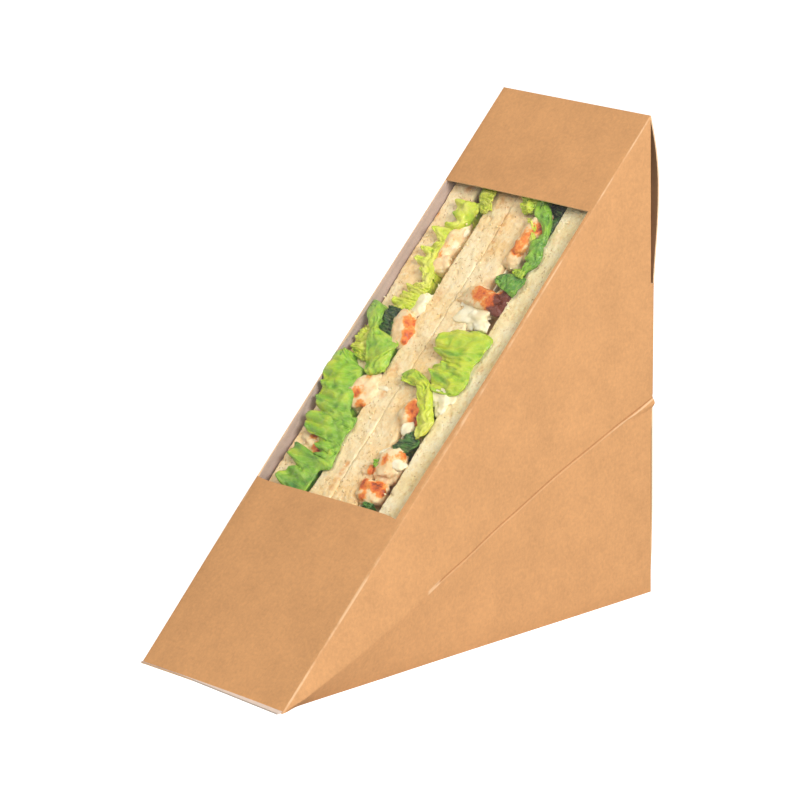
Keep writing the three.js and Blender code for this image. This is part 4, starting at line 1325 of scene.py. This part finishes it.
def make_chicken(name, lumps, browned_spots, seed):
    builder = bmesh.new()
    add_strip_behind(builder, name, 3.0, 0.9, seed)
    for index, ((across, up, down), (wide, long, thick), turn) in enumerate(lumps):
        size = (wide * 1.05, long * 1.05, thick)
        add_lump(builder, (across, up, down + 0.5), size, turn, 0.85, 0.34, seed * 5 + index)
    data = bpy.data.meshes.new(name)
    builder.to_mesh(data)
    builder.free()
    values = []
    for vertex in data.vertices:
        value = 0.0
        for across, up, radius, strength in browned_spots:
            distance = (vertex.co - seen_at(across, up, 1.8)).length / (radius * MM)
            value = max(value, strength * max(0.0, 1 - distance ** 2))
        values.append(value)
    set_masks(data, {"browned": values})
    smooth(data)
    data.materials.append(chicken_material)
    piece = new_piece(name.replace("chicken", "strip"), data)
    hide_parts(name)
    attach(piece, "pack")


make_chicken("chicken_left_1", [((-15.6, 67.2, 3.6), (7, 6, 4), 10), ((-12, 64.6, 3.8), (6, 4, 4), -20)],
             [(-14, 66.5, 2.2, 0.9), (-12.5, 64.5, 2.4, 1.0), (-17, 69, 2, 0.6)], 1)
make_chicken("chicken_left_2", [((-8.6, 83.4, 3.3), (8.2, 10.5, 5.5), -18)],
             [(-11.2, 82.5, 2.2, 0.6), (-8.0, 79.0, 2.6, 0.75), (-5.6, 79.2, 2.0, 0.6),
              (-10.5, 87.6, 1.4, 0.5)], 2)
make_chicken("chicken_left_3", [((-8.6, 101.4, 3.0), (7.5, 10.5, 5.5), 32)],
             [(-8.6, 104.2, 2.6, 0.65), (-6.8, 101.2, 2.4, 0.75), (-5.8, 98.6, 2.0, 0.8),
              (-3.8, 97.4, 1.3, 0.8)], 3)
make_chicken("chicken_left_4",
             [((-10.6, 127.4, 4.3), (5.2, 12.0, 5.5), -12), ((-9.2, 121.6, 4.0), (5.5, 4.6, 4.6), 25)],
             [(-8.0, 122.2, 2.0, 0.6), (-12.6, 127.0, 1.4, 0.4), (-13.2, 124.4, 1.4, 0.35)], 4)
make_chicken("chicken_right_1", [((12.3, 58.4, 3.3), (9.0, 6.2, 5.0), 8)],
             [(8.4, 60.4, 2.4, 0.7), (12.5, 61.0, 2.6, 0.9), (15.4, 60.0, 2.4, 1.0),
              (10.0, 57.2, 1.8, 0.5)], 5)
make_chicken("chicken_right_2",
             [((13.2, 66.6, 3.0), (8.0, 9.5, 5.0), 14), ((8.4, 63.6, 3.2), (4.5, 3.6, 3.6), 0)],
             [(11.2, 67.6, 2.2, 0.6), (14.6, 70.5, 2.2, 0.6), (8.0, 64.6, 2.0, 0.7),
              (15.8, 64.0, 2.0, 0.55)], 6)
make_chicken("chicken_right_3", [((10.8, 81.2, 2.9), (7.5, 8.5, 5.0), -34)],
             [(9.4, 82.4, 2.8, 0.75), (11.4, 80.4, 2.6, 0.75), (8.4, 84.0, 1.6, 0.6)], 7)
make_chicken("chicken_right_4",
             [((10.8, 114.6, 2.6), (14.5, 6.4, 5.5), -4), ((17.0, 116.4, 3.4), (5.5, 7.5, 5.0), -24)],
             [(9.5, 116.4, 4.0, 0.75), (13.6, 114.8, 3.4, 0.8), (17.0, 116.4, 4.4, 1.9),
              (15.6, 112.0, 3.2, 1.9), (18.8, 119.0, 2.4, 1.4)], 8)
make_chicken("chicken_right_5",
             [((13.4, 134.0, 3.2), (6.5, 13.5, 5.5), -14), ((12.4, 127.6, 3.4), (5.0, 5.5, 4.6), 0)],
             [(10.6, 130.8, 2.8, 0.7), (13.4, 137.6, 2.6, 0.8), (11.6, 134.4, 2.6, 0.6),
              (14.8, 126.6, 1.6, 1.0), (9.0, 124.6, 1.6, 0.6)], 9)


# Mayonnaise, spread on the two inner slices and pushed out between the strips in soft glossy blobs.
# The blobs run into each other, and a thin layer goes on down between the slice and the filling.
mayonnaise_material, tree, shader, spot = new_material("mayonnaise", 0.28)
creamy = add_mix(tree, mottled(tree, spot, 300, 3, 0.5, 0.35, 0.65), srgb(250, 234, 190), srgb(255, 247, 218))
tree.links.new(creamy, shader.inputs["Base Color"])
let_light_in(shader, 0.2, (0.001, 0.001, 0.0008))
blobs = {
    "mayonnaise_left": [
        ((-8.6, 109.6, 2.9), (4.8, 8.0, 2.0), 0), ((-4.0, 85.4, 2.9), (5.5, 1.8, 1.2), 4),
        ((-10.6, 128.5, 4.4), (4.0, 9.0, 3.0), -10), ((-9.4, 98.6, 3.4), (3.4, 5.0, 3.0), 20),
    ],
    "mayonnaise_right": [
        ((10.4, 110.8, 2.9), (10.4, 8.0, 2.4), 8), ((6.4, 114.2, 2.9), (3.4, 4.6, 2.0), -30),
        ((14.6, 108.2, 2.9), (5.0, 3.0, 1.8), 4), ((15.4, 88.0, 2.6), (8.6, 6.6, 2.4), -28),
        ((17.6, 84.4, 2.8), (3.6, 4.4, 1.8), 10), ((11.4, 77.4, 2.8), (3.8, 4.4, 2.4), 12),
        ((9.4, 69.0, 2.9), (3.2, 3.8, 1.8), 0), ((15.6, 67.2, 2.6), (5.0, 3.0, 2.2), 6),
    ],
}
for seed, (name, lumps) in enumerate(blobs.items()):
    builder = bmesh.new()
    for index, (centre, size, turn) in enumerate(lumps):
        add_lump(builder, centre, size, turn, 1.0, 0.6, 40 + seed * 9 + index)
    data = bpy.data.meshes.new(name)
    builder.to_mesh(data)
    builder.free()
    data.materials.append(mayonnaise_material)
    spread = new_piece(name.replace("mayonnaise", "spread"), data)
    joined = spread.modifiers.new("joined", "REMESH")
    joined.mode = "VOXEL"
    joined.voxel_size = 0.2 * MM
    softened = spread.modifiers.new("softened", "SMOOTH")
    softened.iterations = 14
    apply_modifiers(spread)
    builder = bmesh.new()
    builder.from_mesh(spread.data)
    add_strip_behind(builder, name, 1.2, 0.1, seed)
    builder.to_mesh(spread.data)
    builder.free()
    smooth(spread.data)
    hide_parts(name)
    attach(spread, "pack")


# Loose crumbs of the bread and dark flecks of seasoning lie on the cut faces. Both are one small rough
# grain, repeated over a plain sheet at the level of the cut, with a setting for how many and how big.
def scatter_tree():
    tree = bpy.data.node_groups.new("scattered_grains", "GeometryNodeTree")
    for name, kind in (
        ("Geometry", "NodeSocketGeometry"), ("Per Square Metre", "NodeSocketFloat"),
        ("Smallest", "NodeSocketFloat"), ("Largest", "NodeSocketFloat"), ("Seed", "NodeSocketInt"),
        ("Material", "NodeSocketMaterial"),
    ):
        tree.interface.new_socket(name, in_out="INPUT", socket_type=kind)
    tree.interface.new_socket("Geometry", in_out="OUTPUT", socket_type="NodeSocketGeometry")
    entry, leave = tree.nodes.new("NodeGroupInput"), tree.nodes.new("NodeGroupOutput")
    scatter = tree.nodes.new("GeometryNodeDistributePointsOnFaces")
    grain = tree.nodes.new("GeometryNodeMeshIcoSphere")
    grain.inputs["Radius"].default_value = 1.0
    grain.inputs["Subdivisions"].default_value = 2
    size = tree.nodes.new("FunctionNodeRandomValue")
    size.data_type = "FLOAT_VECTOR"
    turn = tree.nodes.new("FunctionNodeRandomValue")
    turn.data_type = "FLOAT_VECTOR"
    turn.inputs["Max"].default_value = (6.2, 6.2, 6.2)
    place = tree.nodes.new("GeometryNodeInstanceOnPoints")
    real = tree.nodes.new("GeometryNodeRealizeInstances")
    paint = tree.nodes.new("GeometryNodeSetMaterial")
    for output, wanted in (
        (entry.outputs["Geometry"], scatter.inputs["Mesh"]),
        (entry.outputs["Per Square Metre"], scatter.inputs["Density"]),
        (entry.outputs["Seed"], scatter.inputs["Seed"]),
        (entry.outputs["Smallest"], size.inputs["Min"]),
        (entry.outputs["Largest"], size.inputs["Max"]),
        (entry.outputs["Seed"], size.inputs["Seed"]),
        (scatter.outputs["Points"], place.inputs["Points"]),
        (grain.outputs["Mesh"], place.inputs["Instance"]),
        (size.outputs["Value"], place.inputs["Scale"]),
        (turn.outputs["Value"], place.inputs["Rotation"]),
        (place.outputs["Instances"], real.inputs["Geometry"]),
        (real.outputs["Geometry"], paint.inputs["Geometry"]),
        (entry.outputs["Material"], paint.inputs["Material"]),
        (paint.outputs["Geometry"], leave.inputs["Geometry"]),
    ):
        tree.links.new(output, wanted)
    return tree


grains = scatter_tree()
seasoning_material, tree, shader, spot = new_material("seasoning", 0.6)
fleck = add_mix(tree, mottled(tree, spot, 500, 1, 0.6, 0.4, 0.6), srgb(110, 66, 30), srgb(150, 92, 42))
tree.links.new(fleck, shader.inputs["Base Color"])
for name, slot, material, settings in (
    ("loose_crumbs", "bread", bread_material, (52000.0, 0.10 * MM, 0.34 * MM, 5)),
    ("seasoning_flecks", "chicken", seasoning_material, (16000.0, 0.05 * MM, 0.15 * MM, 9)),
):
    sheet = Sheet()
    sheet.patch([[below_slope(across * MM, up * MM, CUT_DOWN - 0.02 * MM) for across in range(-25, 25, 2)]
                 for up in range(52, 147, 3)])
    scattered = sheet.mesh(name)
    modifier = scattered.modifiers.new("grains", "NODES")
    modifier.node_group = grains
    sockets = [item.identifier for item in grains.interface.items_tree if item.in_out == "INPUT"][1:]
    for identifier, value in zip(sockets, (*settings, material)):
        modifier[identifier] = value
    apply_modifiers(scattered)
    if not scattered.data.materials:
        scattered.data.materials.append(material)
    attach(scattered, "pack")
